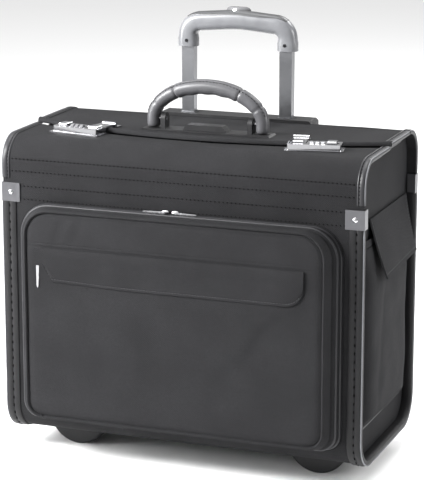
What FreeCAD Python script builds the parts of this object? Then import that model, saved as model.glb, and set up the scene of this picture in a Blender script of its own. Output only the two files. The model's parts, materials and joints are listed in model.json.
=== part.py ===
import FreeCAD, Part
import math
import os

# Pilot rolling flight case. Millimetres. +X right, +Y towards the trolley side, +Z up.
# The origin lies on the floor, in the middle of the overall box; depths are measured back
# from the outer face of the front wall and heights up from the underside of the case body.

V = FreeCAD.Vector

# Case body
case_width = 480.0
case_depth = 235.0
case_height = 395.0
wall = 5.0
bottom_corner_r = 40.0
top_corner_r = 34.0
panel_inset = 12.0
panel_thickness = 4.0
binding_width = 18.0
binding_skin = 0.9
fold_height = 338.0
bracket_low = 308.5
bracket_high = 333.0
bracket_sheet = 1.5
bracket_face = 25.0
bracket_return = 11.0
rivet_r = 3.4

# Lids
lid_skin = 4.0
front_lid_drop = 3.5
mouth_centre_depth = 56.0
mouth_end_depth = 108.0
mouth_gap = 1.0
rear_hinge_from_back = 38.0
hinge_gap = 0.5
panel_clearance = 1.0

# Front compartment
pocket_depth = 27.0
pocket_base_half = 214.0
pocket_face_half = 198.0
pocket_base_low = 27.0
pocket_base_high = 309.0
pocket_face_low = 34.0
pocket_face_high = 304.0
pocket_top_r = 40.0
pocket_bottom_r = 20.0
pocket_skin = 2.0
welt_width = 7.0
welt_skin = 2.0
soft_gap = 0.4
flap_top = 258.0
flap_bottom = 212.0
flap_left = -177.0
flap_right = 174.0
flap_skin = 2.0
flap_corner_r = 25.0
flap_slant = 15.3
flap_slant_r = 6.0
zip_centre_x = -9.0
slider_half_gap = 2.0
slider_length = 9.0
slider_height = 5.0
tab_length = 29.0
tab_width = 3.6
tab_sheet = 1.2
tab_edge_r = 1.2

# Side pockets
side_pocket_low = 45.0
side_pocket_mouth = 285.0
side_pocket_margin = 30.0
side_pocket_clear = 0.8
side_pocket_foot_rise = 12.0
side_pocket_shoulder = 10.0
side_flap_front = 58.5
side_flap_from_back = 13.0
side_flap_top = 309.0
side_flap_bottom = 235.0
side_flap_lean = 24.0
side_flap_rear_lean = 16.0
side_flap_skin = 2.4

# Trolley handle
tube_spacing = 136.0
tube_from_back = 20.0
tube_width = 17.0
tube_thickness = 12.0
tube_wall = 1.2
tube_play = 0.5
stage_two_down = 86.5
tube_rest_top = 499.0
middle_tube_proud = 1.0
socket_height = 12.0
grip_overhang = 14.5
grip_socket_low = 487.0
grip_top = 536.0
grip_thickness = 22.0
grip_bar = 25.0
leg_width = 27.0
leg_end_r = 3.0
grip_corner_r = 24.0
grip_inner_r = 12.0
grip_crown = 2.0
grip_crown_r = 200.0
grip_shoulder = 8.0
grip_edge_r = 4.0
grip_screw_r = 2.2
grip_screw_height = 8.0
dock_overhang = 39.0
dock_height = 3.5
dock_from_hinge = 3.0
dock_from_back = 4.0
dock_edge_r = 1.2
button_length = 34.0
button_width = 12.0
button_travel = 3.0
button_depth = 6.0
button_proud = 3.0
link_drop = 17.0
link_thickness = 5.0
link_width = 6.0
push_rod_r = 2.0
push_rod_length = 200.0

# Wheels, feet
wheel_r = 27.5
wheel_width = 22.0
hub_r = 20.0
axle_r = 4.0
axle_play = 0.05
axle_end = 1.5
wheel_half_track = 172.0
wheel_proud = 6.0
housing_side = 5.0
wheel_clearance = 2.0
moulded_edge_r = 4.0
hub_rim = 3.0
hub_boss = 4.0
hub_dish = 3.0
cheek_rim = 6.0
foot_height = 28.0
foot_r = 41.0
foot_half_track = 166.0
foot_front = 57.0
foot_length = 52.0
foot_flat = 0.3

# Carry handle
handle_depth = 104.0
handle_half = 74.0
handle_rise = 44.0
handle_r = 10.0
handle_pivot_height = 12.0
handle_plate = 2.0
pivot_pin_r = 2.4
lug_sheet = 6.0
lug_gap = 2.0
lug_r = 8.0
base_end = 14.0
base_half_depth = 13.0
crown_left = -34.0
crown_right = 30.0
crown_slope = 8.0
crown_height = 9.0
crown_edge_r = 1.5

# Locks, laid along the curved mouth
lock_from_end = 81.8
lock_before_mouth = 20.3
lock_yaw = 11.3
lock_length = 73.0
lock_depth = 31.0
lock_plate = 1.5
lock_top = 8.5
lock_margin = 3.0
lock_corner_r = 2.0
dial_row_x = 3.0
slide_from_end = 15.0
slide_half = 6.0
slide_half_depth = 7.0
slide_cap = 2.9
slide_edge_r = 1.2
dial_r = 5.0
dial_width = 5.0
dial_pitch = 7.0
dial_play = 0.4
dial_axle_r = 1.2
slide_travel = 4.0
hasp_offset = -21.0
hasp_width = 20.0
hasp_hinge_reach = 37.0
hasp_sheet = 2.4
hasp_barrel_r = 2.3
notch_play = 1.2

# Inside
divider_height = 250.0
divider_sheet = 4.0

front_reach = pocket_depth + soft_gap + flap_skin
front_y = -(case_depth + wheel_proud - front_reach) / 2
half = case_width / 2
lid_top = case_height
front_lid_top = case_height - front_lid_drop
panel_out = half - panel_inset
panel_in = panel_out - panel_thickness
rear_hinge_depth = case_depth - rear_hinge_from_back
side_flap_back = case_depth - side_flap_from_back
tube_depth = case_depth - tube_from_back
grip_width = tube_spacing + 2 * grip_overhang
dock_half = tube_spacing / 2 + dock_overhang


def deep(depth):
    """World Y of a depth behind the front wall's face."""
    return front_y + depth


def high(height):
    """World Z of a height above the underside of the case body."""
    return foot_height + height


def block(x0, x1, y0, y1, z0, z1):
    """A box between two corners, in depths and heights."""
    return Part.makeBox(x1 - x0, y1 - y0, z1 - z0, V(x0, deep(y0), high(z0)))


def mirrored(shape):
    return shape.mirror(V(0, 0, 0), V(1, 0, 0))


def save(name, *shapes):
    """Write one node; several shapes stay separate solids."""
    shape = shapes[0] if len(shapes) == 1 else Part.makeCompound(list(shapes))
    shape.exportStep("parts/" + name + ".step")


def rounded_wire(corners, place):
    """Closed wire of straight runs joined by tangent arcs; corners are (u, v, radius)."""
    count = len(corners)
    joins = []
    for i, (u, v, radius) in enumerate(corners):
        before = V(*corners[i - 1][:2], 0) - V(u, v, 0)
        after = V(*corners[(i + 1) % count][:2], 0) - V(u, v, 0)
        before.normalize()
        after.normalize()
        here = V(u, v, 0)
        if radius == 0:
            joins.append((here, None, here))
            continue
        half_angle = before.getAngle(after) / 2
        reach = radius / math.tan(half_angle)
        bisector = before + after
        bisector.normalize()
        middle = here + bisector * (radius / math.sin(half_angle) - radius)
        joins.append((here + before * reach, middle, here + after * reach))
    edges = []
    for i, (start, middle, end) in enumerate(joins):
        if middle is not None:
            edges.append(Part.Arc(place(start), place(middle), place(end)).toShape())
        following = joins[(i + 1) % count][0]
        if end.distanceToPoint(following) > 1e-6:
            edges.append(Part.LineSegment(place(end), place(following)).toShape())
    return Part.Wire(edges)


def along_x(corners, x0, x1):
    """Extrude a (depth, height) outline along X."""
    wire = rounded_wire(corners, lambda p: V(x0, deep(p.x), high(p.y)))
    return Part.Face(wire).extrude(V(x1 - x0, 0, 0))


def along_y(corners, y0, y1):
    """Extrude an (x, height) outline along Y."""
    wire = rounded_wire(corners, lambda p: V(p.x, deep(y0), high(p.y)))
    return Part.Face(wire).extrude(V(0, y1 - y0, 0))


def rod_x(x0, x1, depth, height, radius):
    return Part.makeCylinder(radius, x1 - x0, V(x0, deep(depth), high(height)), V(1, 0, 0))


# ---- case body ----

def body_outline(grow):
    """The U of front wall, base and rear wall, moved out by grow."""
    radius = bottom_corner_r + grow
    return [(-grow, -grow, radius), (case_depth + grow, -grow, radius),
            (case_depth + grow, case_height, 0), (-grow, case_height, 0)]


def body_skin(outer, inner, x0, x1):
    return along_x(body_outline(outer), x0, x1).cut(along_x(body_outline(inner), x0, x1))


def wheel_depth():
    return case_depth + wheel_proud - wheel_r


def wheel_height():
    return wheel_r - foot_height


def housing_envelope():
    """The block of case that one wheel housing takes the place of."""
    side = wheel_width / 2 + housing_side
    return block(wheel_half_track - side, wheel_half_track + side,
                 wheel_depth() - wheel_r - 2 * housing_side, case_depth + 2 * wheel_clearance,
                 -2 * wheel_clearance, wheel_height() + wheel_r + 2 * housing_side)


def case_walls():
    skin = body_skin(0, -wall, -half, half)
    axle_room = wheel_axis_rod(axle_r + axle_play, axle_reach())
    for opening in (housing_envelope(), axle_room):
        skin = skin.cut(opening).cut(mirrored(opening))
    front = skin.common(block(-half, half, -1, wall, bottom_corner_r, fold_height))
    rear = skin.common(block(-half, half, case_depth - wall, case_depth + 1, bottom_corner_r, fold_height))
    base = skin.common(block(-half, half, -1, case_depth + 1, -1, bottom_corner_r))
    holes = bracket_holes()
    save("front_wall", front.cut(holes))
    save("rear_wall", rear.cut(holes))
    save("base_wrap", base)


def rear_strip():
    """The fixed top edge behind the rear lid, with the rounded rear corner."""
    outer = [(rear_hinge_depth + hinge_gap, lid_top, 0), (case_depth, lid_top, top_corner_r),
             (case_depth, fold_height, 0), (case_depth - wall, fold_height, 0),
             (case_depth - wall, lid_top - wall, top_corner_r - wall),
             (rear_hinge_depth + hinge_gap, lid_top - wall, 0)]
    strip = along_x(outer, -half, half)
    strip = strip.cut(tube_pair(stage_size(0), fold_height, lid_top - wall, 0))
    return strip.cut(tube_pair(stage_size(1), fold_height, case_height + dock_height, tube_play))


def end_panel():
    """Inset end wall; its top follows the underside of both lids."""
    inner_r = bottom_corner_r - wall
    roof = front_lid_top - lid_skin - panel_clearance
    side = wall + panel_clearance
    back = case_depth - wall
    return along_x([(wall, wall, inner_r), (back, wall, inner_r),
                    (back, lid_top - wall - panel_clearance, top_corner_r - wall),
                    (rear_hinge_depth, lid_top - wall - panel_clearance, 0), (mouth_end_depth, roof, 0),
                    (side, roof, top_corner_r - wall), (side, fold_height - panel_clearance, 0),
                    (wall, fold_height - 2 * panel_clearance, 0)], panel_in, panel_out)


def edge_binding():
    """Bound edge: a channel folded over the wrapper's end edge up to the brackets."""
    low = half - binding_width
    outside = body_skin(binding_skin, 0, low, half)
    cap = body_skin(binding_skin, -wall - binding_skin, half, half + binding_skin)
    inside = body_skin(-wall, -wall - binding_skin, panel_out, half)
    channel = outside.fuse(cap).fuse(inside)
    keep = block(low - 1, half + 5, -5, case_depth + 5, -5, bracket_low)
    return channel.common(keep).removeSplitter()


def bracket(depth, inward):
    """Clip folded round the wrapper's end edge; inward is +1 at the front and -1 at the rear."""
    def leg(x0, x1, d0, d1):
        depths = sorted((depth + inward * d0, depth + inward * d1))
        return block(x0, x1, depths[0], depths[1], bracket_low, bracket_high)
    outer = half + bracket_sheet
    face = leg(outer - bracket_face, outer, -bracket_sheet, 0)
    cap = leg(half, outer, -bracket_sheet, bracket_return)
    inner = leg(panel_out + bracket_sheet, outer, wall, wall + bracket_sheet)
    return face.fuse(cap).fuse(inner).removeSplitter().cut(bracket_holes())


def rivet_centres():
    return [(side * (half + bracket_sheet - bracket_face / 2), side_depth)
            for side in (-1, 1) for side_depth in (0, case_depth)]


def rivet_hole(x, depth, length, radius):
    start = V(x, deep(depth) - length, high((bracket_low + bracket_high) / 2))
    return Part.makeCylinder(radius, 2 * length, start, V(0, 1, 0))


def bracket_holes():
    return Part.makeCompound([rivet_hole(x, d, wall - 1, rivet_r / 2) for x, d in rivet_centres()])


def rivets():
    """Domed heads on short shanks that pass through the bracket's face into the wall."""
    made = []
    for x, depth in rivet_centres():
        outward = -1 if depth == 0 else 1
        height = high((bracket_low + bracket_high) / 2)
        seat = V(x, deep(depth) + outward * bracket_sheet, height)
        ball = Part.makeSphere(1.25 * rivet_r, seat - V(0, outward * 0.75 * rivet_r, 0))
        beyond = Part.makeCylinder(2 * rivet_r, 2 * rivet_r, seat, V(0, outward, 0))
        shank = Part.makeCylinder(rivet_r / 2, bracket_sheet + wall - 1, seat, V(0, -outward, 0))
        made.append(ball.common(beyond).fuse(shank).removeSplitter())
    return made


# ---- lids ----

def mouth_depth(x):
    """Depth of the curved split between the lids at a given X."""
    sag = mouth_end_depth - mouth_centre_depth
    radius = (half ** 2 + sag ** 2) / (2 * sag)
    return mouth_centre_depth + radius - math.sqrt(radius ** 2 - x ** 2)


def behind_mouth(shift):
    """Everything behind the curved split, moved back by shift."""
    wide = half + binding_width
    low = high(fold_height)
    a = V(-wide, deep(mouth_depth(-wide) + shift), low)
    b = V(0, deep(mouth_depth(0) + shift), low)
    c = V(wide, deep(mouth_depth(wide) + shift), low)
    far = V(0, case_depth, 0)
    edges = [Part.Arc(a, b, c).toShape(), Part.LineSegment(c, c + far).toShape(),
             Part.LineSegment(c + far, a + far).toShape(), Part.LineSegment(a + far, a).toShape()]
    return Part.Face(Part.Wire(edges)).extrude(V(0, 0, case_height))


def front_lid():
    outer = front_lid_top
    inner = front_lid_top - lid_skin
    low = fold_height + hinge_gap
    far = mouth_end_depth + binding_width
    profile = [(0, low, 0), (0, outer, top_corner_r), (far, outer, 0), (far, inner, 0),
               (wall, inner, top_corner_r - wall), (wall, low, 0)]
    return along_x(profile, -half, half).cut(behind_mouth(-mouth_gap / 2))


def rear_lid():
    plate = block(-half, half, 0, rear_hinge_depth - hinge_gap, lid_top - lid_skin, lid_top)
    return plate.common(behind_mouth(mouth_gap / 2))


# ---- front compartment ----

def pocket_section(depth, shrink):
    """Rounded outline of the compartment at a depth in front of the wall."""
    t = depth / pocket_depth
    side = pocket_base_half + t * (pocket_face_half - pocket_base_half) - shrink
    low = pocket_base_low + t * (pocket_face_low - pocket_base_low) + shrink
    top = pocket_base_high + t * (pocket_face_high - pocket_base_high) - shrink
    corners = [(-side, low, pocket_bottom_r - shrink), (side, low, pocket_bottom_r - shrink),
               (side, top, pocket_top_r - shrink), (-side, top, pocket_top_r - shrink)]
    return rounded_wire(corners, lambda p: V(p.x, deep(-depth), high(p.y)))


def pocket_shell():
    """Zip-off front compartment: face panel and gusset in one hollow shell."""
    start = welt_skin + soft_gap
    outside = Part.makeLoft([pocket_section(start, 0), pocket_section(pocket_depth, 0)], True, True)
    inside = Part.makeLoft([pocket_section(start - 1, pocket_skin),
                            pocket_section(pocket_depth - pocket_skin, pocket_skin)], True, True)
    return outside.cut(inside)


def pocket_welt():
    """Corded frame that carries the fixed side of the zip."""
    def slab(shrink):
        return Part.Face(pocket_section(0, shrink)).extrude(V(0, -welt_skin, 0))
    return slab(-2).cut(slab(welt_width - 2))


def slip_flap():
    """Storm flap of the slip pocket, with one round and one slanted lower corner."""
    near = -pocket_depth - soft_gap
    return along_y([(flap_left, flap_top, 0), (flap_left, flap_bottom + 1.4 * flap_slant, 0),
                    (flap_left + flap_slant, flap_bottom + flap_slant / 4, flap_slant_r), (0, flap_bottom, 0),
                    (flap_right, flap_bottom, flap_corner_r), (flap_right, flap_top, 0)],
                   near - flap_skin, near)


def slip_tab():
    """Metal pull of the slip pocket's own zip, hanging beside the flap."""
    x = flap_left - tab_width - soft_gap
    top = (flap_top + flap_bottom) / 2
    near = -pocket_depth - soft_gap
    return block(x - tab_width / 2, x + tab_width / 2, near - tab_sheet, near, top - tab_length, top)


def slider_height_centre():
    return pocket_base_high + soft_gap + slider_height / 2


def zip_slider(side):
    x0, x1 = sorted((side * slider_half_gap, side * (slider_half_gap + slider_length)))
    low = pocket_base_high + soft_gap
    body = block(zip_centre_x + x0, zip_centre_x + x1, -welt_skin - slider_height, -welt_skin - soft_gap,
                 low, low + slider_height)
    return body.makeFillet(tab_edge_r, [e for e in body.Edges if abs(e.tangentAt(e.FirstParameter).x) > 0.9])


def zip_tab(side):
    near = -welt_skin - slider_height - soft_gap
    root = side * (slider_half_gap + slider_length / 2)
    x0, x1 = sorted((root, root + side * tab_length))
    mid = slider_height_centre()
    plate = block(zip_centre_x + x0, zip_centre_x + x1, near - tab_sheet, near,
                  mid - tab_width / 2, mid + tab_width / 2)
    return plate.makeFillet(tab_edge_r, [e for e in plate.Edges if abs(e.tangentAt(e.FirstParameter).y) > 0.9])


# ---- side pockets ----

def side_pocket():
    """Patch pocket on the right end panel, open at the top."""
    flap_slope = side_flap_rear_lean / (side_flap_top - side_flap_bottom)
    mouth_bulge = flap_slope * (side_flap_top - side_pocket_mouth) - side_pocket_clear
    bulge = side_flap_rear_lean - side_pocket_clear

    def slab(skin, top):
        corners = [(panel_out - skin, side_pocket_low + skin),
                   (panel_out + bulge - skin, side_pocket_low + side_pocket_foot_rise + skin),
                   (panel_out + bulge - skin, side_flap_bottom - side_pocket_shoulder),
                   (panel_out + mouth_bulge - skin / 2, top),
                   (panel_out - skin, top)]
        points = [V(x, deep(side_pocket_margin + skin), high(z)) for x, z in corners]
        wire = Part.makePolygon(points + [points[0]])
        return Part.Face(wire).extrude(V(0, case_depth - 2 * (side_pocket_margin + skin), 0))
    return slab(0, side_pocket_mouth).cut(slab(pocket_skin, side_pocket_mouth + 1))


def side_flap():
    """Leaning flap hung from its top edge over the pocket's mouth; it leans further at the front."""
    near = panel_out + soft_gap

    def section(depth, lean):
        points = [(near, side_flap_top), (near + lean, side_flap_bottom),
                  (near + lean + side_flap_skin, side_flap_bottom), (near + side_flap_skin, side_flap_top)]
        return Part.makePolygon([V(x, deep(depth), high(z)) for x, z in points + points[:1]])
    return Part.makeLoft([section(side_flap_front, side_flap_lean),
                          section(side_flap_back, side_flap_rear_lean)], True, True)


# ---- trolley handle ----

def stage_size(stage):
    """Outer width and thickness of the inner (2), middle (1) and fixed (0) tubes."""
    grow = (2 - stage) * 2 * (tube_wall + tube_play)
    return tube_width + grow, tube_thickness + grow


def tube(size, low, top, grow):
    width, thick = size[0] + 2 * grow, size[1] + 2 * grow
    x = tube_spacing / 2
    return block(x - width / 2, x + width / 2, tube_depth - thick / 2, tube_depth + thick / 2, low, top)


def tube_pair(size, low, top, grow):
    one = tube(size, low, top, grow)
    return Part.makeCompound([one, mirrored(one)])


def hollow_tubes(stage, low, top):
    size = stage_size(stage)
    one = tube(size, low, top, 0).cut(tube(size, low - 1, top + 1, -tube_wall))
    return one, mirrored(one)


def trolley_dock():
    """Raised bar that the grip settles on, seated on the rounded rear corner, with the tubes passing through."""
    low, top = lid_top - top_corner_r, lid_top + dock_height
    body = along_y([(-dock_half, low, 0), (dock_half, low, 0), (dock_half, lid_top, 0),
                    (dock_half - dock_height, top, dock_edge_r), (dock_height - dock_half, top, dock_edge_r),
                    (-dock_half, lid_top, 0)], rear_hinge_depth + dock_from_hinge,
                   case_depth - dock_from_back)
    seat = along_x([(0, lid_top, 0), (case_depth, lid_top, top_corner_r), (case_depth, fold_height, 0),
                    (0, fold_height, 0)], -half, half)
    body = body.cut(seat).cut(tube_pair(stage_size(0), low, lid_top - wall, 0))
    return body.cut(tube_pair(stage_size(1), low, top + 1, tube_play))


def dock_socket():
    """Bracket at the foot of the fixed tubes."""
    size = stage_size(0)
    low = bottom_corner_r
    bar = block(-tube_spacing / 2 - size[0], tube_spacing / 2 + size[0], tube_depth - size[1],
                case_depth - wall, low, low + socket_height)
    return bar.cut(tube_pair(size, low + socket_height / 2, low + 2 * socket_height, 0))


def grip_outline():
    """Arched grip with a leg over each tube."""
    outer = grip_width / 2
    inner = outer - leg_width
    low = grip_socket_low
    shoulder = grip_top - grip_shoulder
    under = grip_top - grip_bar
    return [(-outer, low, leg_end_r), (-outer, shoulder, grip_corner_r),
            (0, grip_top + grip_crown, grip_crown_r), (outer, shoulder, grip_corner_r),
            (outer, low, leg_end_r), (inner, low, leg_end_r), (inner, under - 3, grip_inner_r),
            (0, under - 1, 0), (-inner, under - 3, grip_inner_r), (-inner, low, leg_end_r)]


def grip_span(reach):
    return tube_depth - reach / 2, tube_depth + reach / 2


def trolley_grip():
    y0, y1 = grip_span(grip_thickness)
    body = along_y(grip_outline(), y0, y1)
    long_edges = [e for e in body.Edges if abs(e.tangentAt(e.FirstParameter).y) < 0.01]
    body = body.makeFillet(grip_edge_r, long_edges)
    body = body.cut(tube_pair(stage_size(2), grip_socket_low - 1, tube_rest_top, 0))
    return body.cut(link_solid(tube_play)).cut(button_solid(tube_play)).cut(Part.makeCompound(grip_screws()))


def button_solid(grow):
    """Release button in the crown of the grip, with its stem down to the link."""
    y0, y1 = grip_span(button_width + 2 * grow)
    low = grip_top - button_depth - grow * (1 + button_travel / tube_play)
    top = grip_top + button_proud + 2 * grow
    return block(-button_length / 2 - grow, button_length / 2 + grow, y0, y1, low, top)


def link_solid(grow):
    """Crossbar under the button and a push rod down each tube."""
    y0, y1 = grip_span(link_width + 2 * grow)
    bar_low = grip_top - link_drop
    extra = button_travel if grow else 0
    reach = (tube_spacing + link_width) / 2 + grow
    bar = block(-reach, reach, y0, y1, bar_low - grow - extra, bar_low + link_thickness + grow)
    stem = block(-link_width - grow, link_width + grow, y0, y1, bar_low, grip_top - button_depth)
    rod_low = grip_socket_low - push_rod_length
    rods = [Part.makeCylinder(push_rod_r + grow, bar_low - rod_low,
                              V(s * tube_spacing / 2, deep(tube_depth), high(rod_low)))
            for s in (-1, 1)]
    return bar.fuse([stem] + rods).removeSplitter()


def grip_screws():
    made = []
    for side in (-1, 1):
        start = V(side * tube_spacing / 2, deep(tube_depth - grip_thickness / 2 - 0.6),
                  high(grip_socket_low + grip_screw_height))
        made.append(Part.makeCylinder(grip_screw_r, 1.6, start, V(0, 1, 0)))
    return made


# ---- wheels and feet ----

def wheel_axis_rod(radius, reach):
    return rod_x(wheel_half_track - reach, wheel_half_track + reach, wheel_depth(), wheel_height(), radius)


def tyre():
    ring = wheel_axis_rod(wheel_r, wheel_width / 2)
    ring = ring.makeFillet(moulded_edge_r, [e for e in ring.Edges if e.Curve.TypeId == "Part::GeomCircle"])
    return ring.cut(wheel_axis_rod(hub_r, wheel_width))


def hub():
    disc = wheel_axis_rod(hub_r, wheel_width / 2)
    disc = disc.cut(wheel_axis_rod(axle_r + axle_play, wheel_width))
    dish = wheel_axis_rod(hub_r - hub_rim, wheel_width / 2)
    dish = dish.cut(wheel_axis_rod(axle_r + hub_boss, wheel_width / 2))
    inner = wheel_axis_rod(hub_r, wheel_width / 2 - hub_dish)
    return disc.cut(dish.cut(inner))


def axle_reach():
    return wheel_width / 2 + housing_side + axle_end


def axle():
    return wheel_axis_rod(axle_r, axle_reach())


def wheel_housing():
    """Moulded arch let into the case's rear corner, with two cheeks for the axle."""
    shell = housing_envelope().common(along_x(body_outline(wheel_clearance), 0, half))
    side = wheel_width / 2 + housing_side
    boss_r = axle_r + cheek_rim
    cheeks = wheel_axis_rod(boss_r, side)
    web = block(wheel_half_track - side, wheel_half_track + side, wheel_depth() - boss_r,
                wheel_depth() + boss_r, wheel_height(), wheel_height() + boss_r)
    room = wheel_axis_rod(wheel_r + wheel_clearance, wheel_width / 2 + wheel_clearance / 2)
    return shell.fuse(cheeks).fuse(web).removeSplitter().cut(room).cut(axle())


def foot():
    """Half-round moulded foot under the front of the base, with a narrow flat to stand on."""
    centre = V(foot_half_track, deep(foot_front), foot_r - foot_flat)
    drum = Part.makeCylinder(foot_r, foot_length, centre, V(0, 1, 0))
    drum = drum.makeFillet(moulded_edge_r, [e for e in drum.Edges if e.Curve.TypeId == "Part::GeomCircle"])
    return drum.common(block(0, half, 0, case_depth, -foot_height, 0))


# ---- carry handle ----

def pivot_height():
    return lid_top + handle_plate + handle_pivot_height


def handle_base():
    """Plate with a lug at each end and a raised centre, screwed to the rear lid."""
    reach = handle_half + base_end
    low = lid_top
    top = low + crown_height
    body = along_y([(-reach, low, 0), (reach, low, 0), (reach - 3, low + handle_plate, 0),
                    (3 - reach, low + handle_plate, 0)],
                   handle_depth - base_half_depth, handle_depth + base_half_depth)
    crown = along_y([(crown_left, low, 0), (crown_right, low, 0),
                     (crown_right - crown_slope, top, crown_edge_r),
                     (crown_left + crown_slope, top, crown_edge_r)], handle_depth - lug_r, handle_depth + lug_r)
    body = body.fuse(crown)
    inner = handle_half - handle_r - lug_gap
    for side in (-1, 1):
        x0, x1 = sorted((side * inner, side * (inner - lug_sheet)))
        lug = rod_x(x0, x1, handle_depth, pivot_height(), lug_r)
        stand = block(x0, x1, handle_depth - lug_r, handle_depth + lug_r, low, pivot_height())
        body = body.fuse(lug).fuse(stand)
    return body.removeSplitter().cut(handle_pins(0))


def handle_pins(grow):
    inner = handle_half - handle_r - lug_gap - lug_sheet
    outer = handle_half + 4
    pins = [rod_x(min(s * inner, s * outer), max(s * inner, s * outer), handle_depth, pivot_height(),
                  pivot_pin_r + grow) for s in (-1, 1)]
    return Part.makeCompound(pins)


def handle_bow():
    """Arched, padded grip turning on the two pins."""
    centre = V(0, deep(handle_depth), high(pivot_height()))
    arch = Part.Ellipse(centre + V(handle_half, 0, 0), centre + V(0, 0, handle_rise), centre)
    path = Part.Wire([Part.Arc(arch, 0, math.pi).toShape()])
    ring = Part.Wire([Part.Circle(centre + V(handle_half, 0, 0), V(0, 0, 1), handle_r).toShape()])
    bow = path.makePipeShell([ring], True, False)
    for side in (-1, 1):
        bow = bow.fuse(rod_x(side * handle_half - handle_r + 0.6, side * handle_half + handle_r - 0.6,
                             handle_depth, pivot_height(), handle_r - 0.5))
    return bow.removeSplitter().cut(handle_pins(axle_play))


# ---- locks ----

def lock_place(shape):
    """Move a shape from the lock's own frame onto the right half of the front lid."""
    moved = shape.copy()
    turn = FreeCAD.Rotation(V(0, 0, 1), lock_yaw)
    x = half - lock_from_end
    seat = V(x, deep(mouth_depth(x) - lock_before_mouth), high(front_lid_top))
    moved.Placement = FreeCAD.Placement(seat, turn)
    return moved


def slab(x0, x1, y0, y1, z0, z1):
    """A box in the lock's own frame: x outward along it, y back, z up from the lid."""
    return Part.makeBox(x1 - x0, y1 - y0, z1 - z0, V(x0, y0, z0))


def dial_centres():
    return [(i - 1) * dial_pitch + dial_row_x for i in range(3)]


def dial_height():
    return lock_plate / 2 + dial_r + 0.2


def lock_bodies():
    """Base plate and raised case with windows for dials, slide and hasp."""
    plate = slab(-lock_length / 2, lock_length / 2, -lock_depth / 2, lock_depth / 2, 0, lock_plate)
    case_half = lock_length / 2 - lock_margin
    case_side = lock_depth / 2 - lock_margin
    case = slab(-case_half, case_half, -case_side, case_side, lock_plate, lock_top)
    upright = [e for e in case.Edges if abs(e.tangentAt(e.FirstParameter).z) > 0.9]
    case = case.makeFillet(lock_corner_r, upright)
    row = dial_centres()
    margin = dial_width / 2 + dial_play + 1.5
    axle_line = Part.makeCylinder(dial_axle_r, row[-1] - row[0] + 2 * margin,
                                  V(row[0] - margin, 0, dial_height()), V(1, 0, 0))
    for x in row:
        room = dial_width / 2 + dial_play
        window = slab(x - room, x + room, -dial_r - 1, dial_r + 1, 0, lock_top + 1)
        case = case.cut(window)
        plate = plate.cut(window)
    notch = slab(hasp_offset - hasp_width / 2 - notch_play, hasp_offset + hasp_width / 2 + notch_play,
                 -4, lock_depth, lock_top - hasp_sheet - notch_play, lock_top + 1)
    groove = slab(slide_x() - 4.5, slide_x() + 4.5 + slide_travel, -2.6, 2.6, 3, lock_top + 1)
    case = case.cut(notch).cut(groove).fuse(axle_line).removeSplitter()
    return plate, case


def slide_x():
    return lock_length / 2 - slide_from_end


def lock_dial(x):
    dial = Part.makeCylinder(dial_r, dial_width, V(x - dial_width / 2, 0, dial_height()), V(1, 0, 0))
    bore = Part.makeCylinder(dial_axle_r + axle_play, 2 * dial_width, V(x - dial_width, 0, dial_height()),
                             V(1, 0, 0))
    return dial.cut(bore)


def lock_slide():
    x = slide_x()
    low = lock_top + 0.3
    top = low + slide_cap
    cap = slab(x - slide_half, x + slide_half, -slide_half_depth, slide_half_depth, low, top)
    cap = cap.makeFillet(slide_edge_r, [e for e in cap.Edges if e.CenterOfMass.z > top - 0.1])
    tongue = slab(x - slide_half + 2, x + slide_half - 2, -2.2, 2.2, 3.5, low)
    return cap.fuse(tongue).removeSplitter()


def hasp_low():
    return lock_top - hasp_sheet + 0.2


def barrel_height():
    return hasp_low() + hasp_barrel_r


def lock_hasp():
    """Sprung arm hinged on the rear lid, with its nose seated in the lock case."""
    x0, x1 = hasp_offset - hasp_width / 2, hasp_offset + hasp_width / 2
    low = hasp_low()
    arm = slab(x0, x1, -2.5, hasp_hinge_reach, low, low + hasp_sheet)
    crown = slab(x0 + 3, x1 - 3, -1, 11, low, low + hasp_sheet + 2)
    crown = crown.makeFillet(1.8, [e for e in crown.Edges if e.CenterOfMass.z > low + hasp_sheet + 1.9])
    arm = arm.fuse(crown)
    barrel = Part.makeCylinder(hasp_barrel_r, hasp_width - 8, V(x0 + 4, hasp_hinge_reach, barrel_height()),
                               V(1, 0, 0))
    bore = Part.makeCylinder(dial_axle_r + axle_play, 3 * hasp_width,
                             V(x0 - hasp_width, hasp_hinge_reach, barrel_height()), V(1, 0, 0))
    reach = hasp_barrel_r + 0.4
    ears = [slab(x, x + 4, hasp_hinge_reach - reach, hasp_hinge_reach + reach, 0, 2 * lock_top)
            for x in (x0, x1 - 4)]
    return arm.fuse(barrel).cut(Part.makeCompound(ears)).cut(bore).removeSplitter()


def hasp_plate():
    """Hinge leaf on the rear lid, with two ears, a pin and a small pointed pad beside it."""
    x0, x1 = hasp_offset - hasp_width / 2, hasp_offset + hasp_width / 2
    low = lid_top - front_lid_top
    leaf = slab(x0, x1, hasp_hinge_reach + 1, hasp_hinge_reach + 13, low, low + 1.2)
    leaf = leaf.fuse(slab(x0, x1, hasp_hinge_reach - 2.4, hasp_hinge_reach + 2, low, low + 0.4))
    pin = Part.makeCylinder(dial_axle_r, hasp_width, V(x0, hasp_hinge_reach, barrel_height()), V(1, 0, 0))
    for x in (x0, x1 - 3.6):
        ear = Part.makeCylinder(hasp_barrel_r, 3.6, V(x, hasp_hinge_reach, barrel_height()), V(1, 0, 0))
        stand = slab(x, x + 3.6, hasp_hinge_reach - hasp_barrel_r, hasp_hinge_reach + hasp_barrel_r,
                     low, barrel_height())
        leaf = leaf.fuse(ear).fuse(stand)
    return leaf.fuse(pin).removeSplitter()


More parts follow.
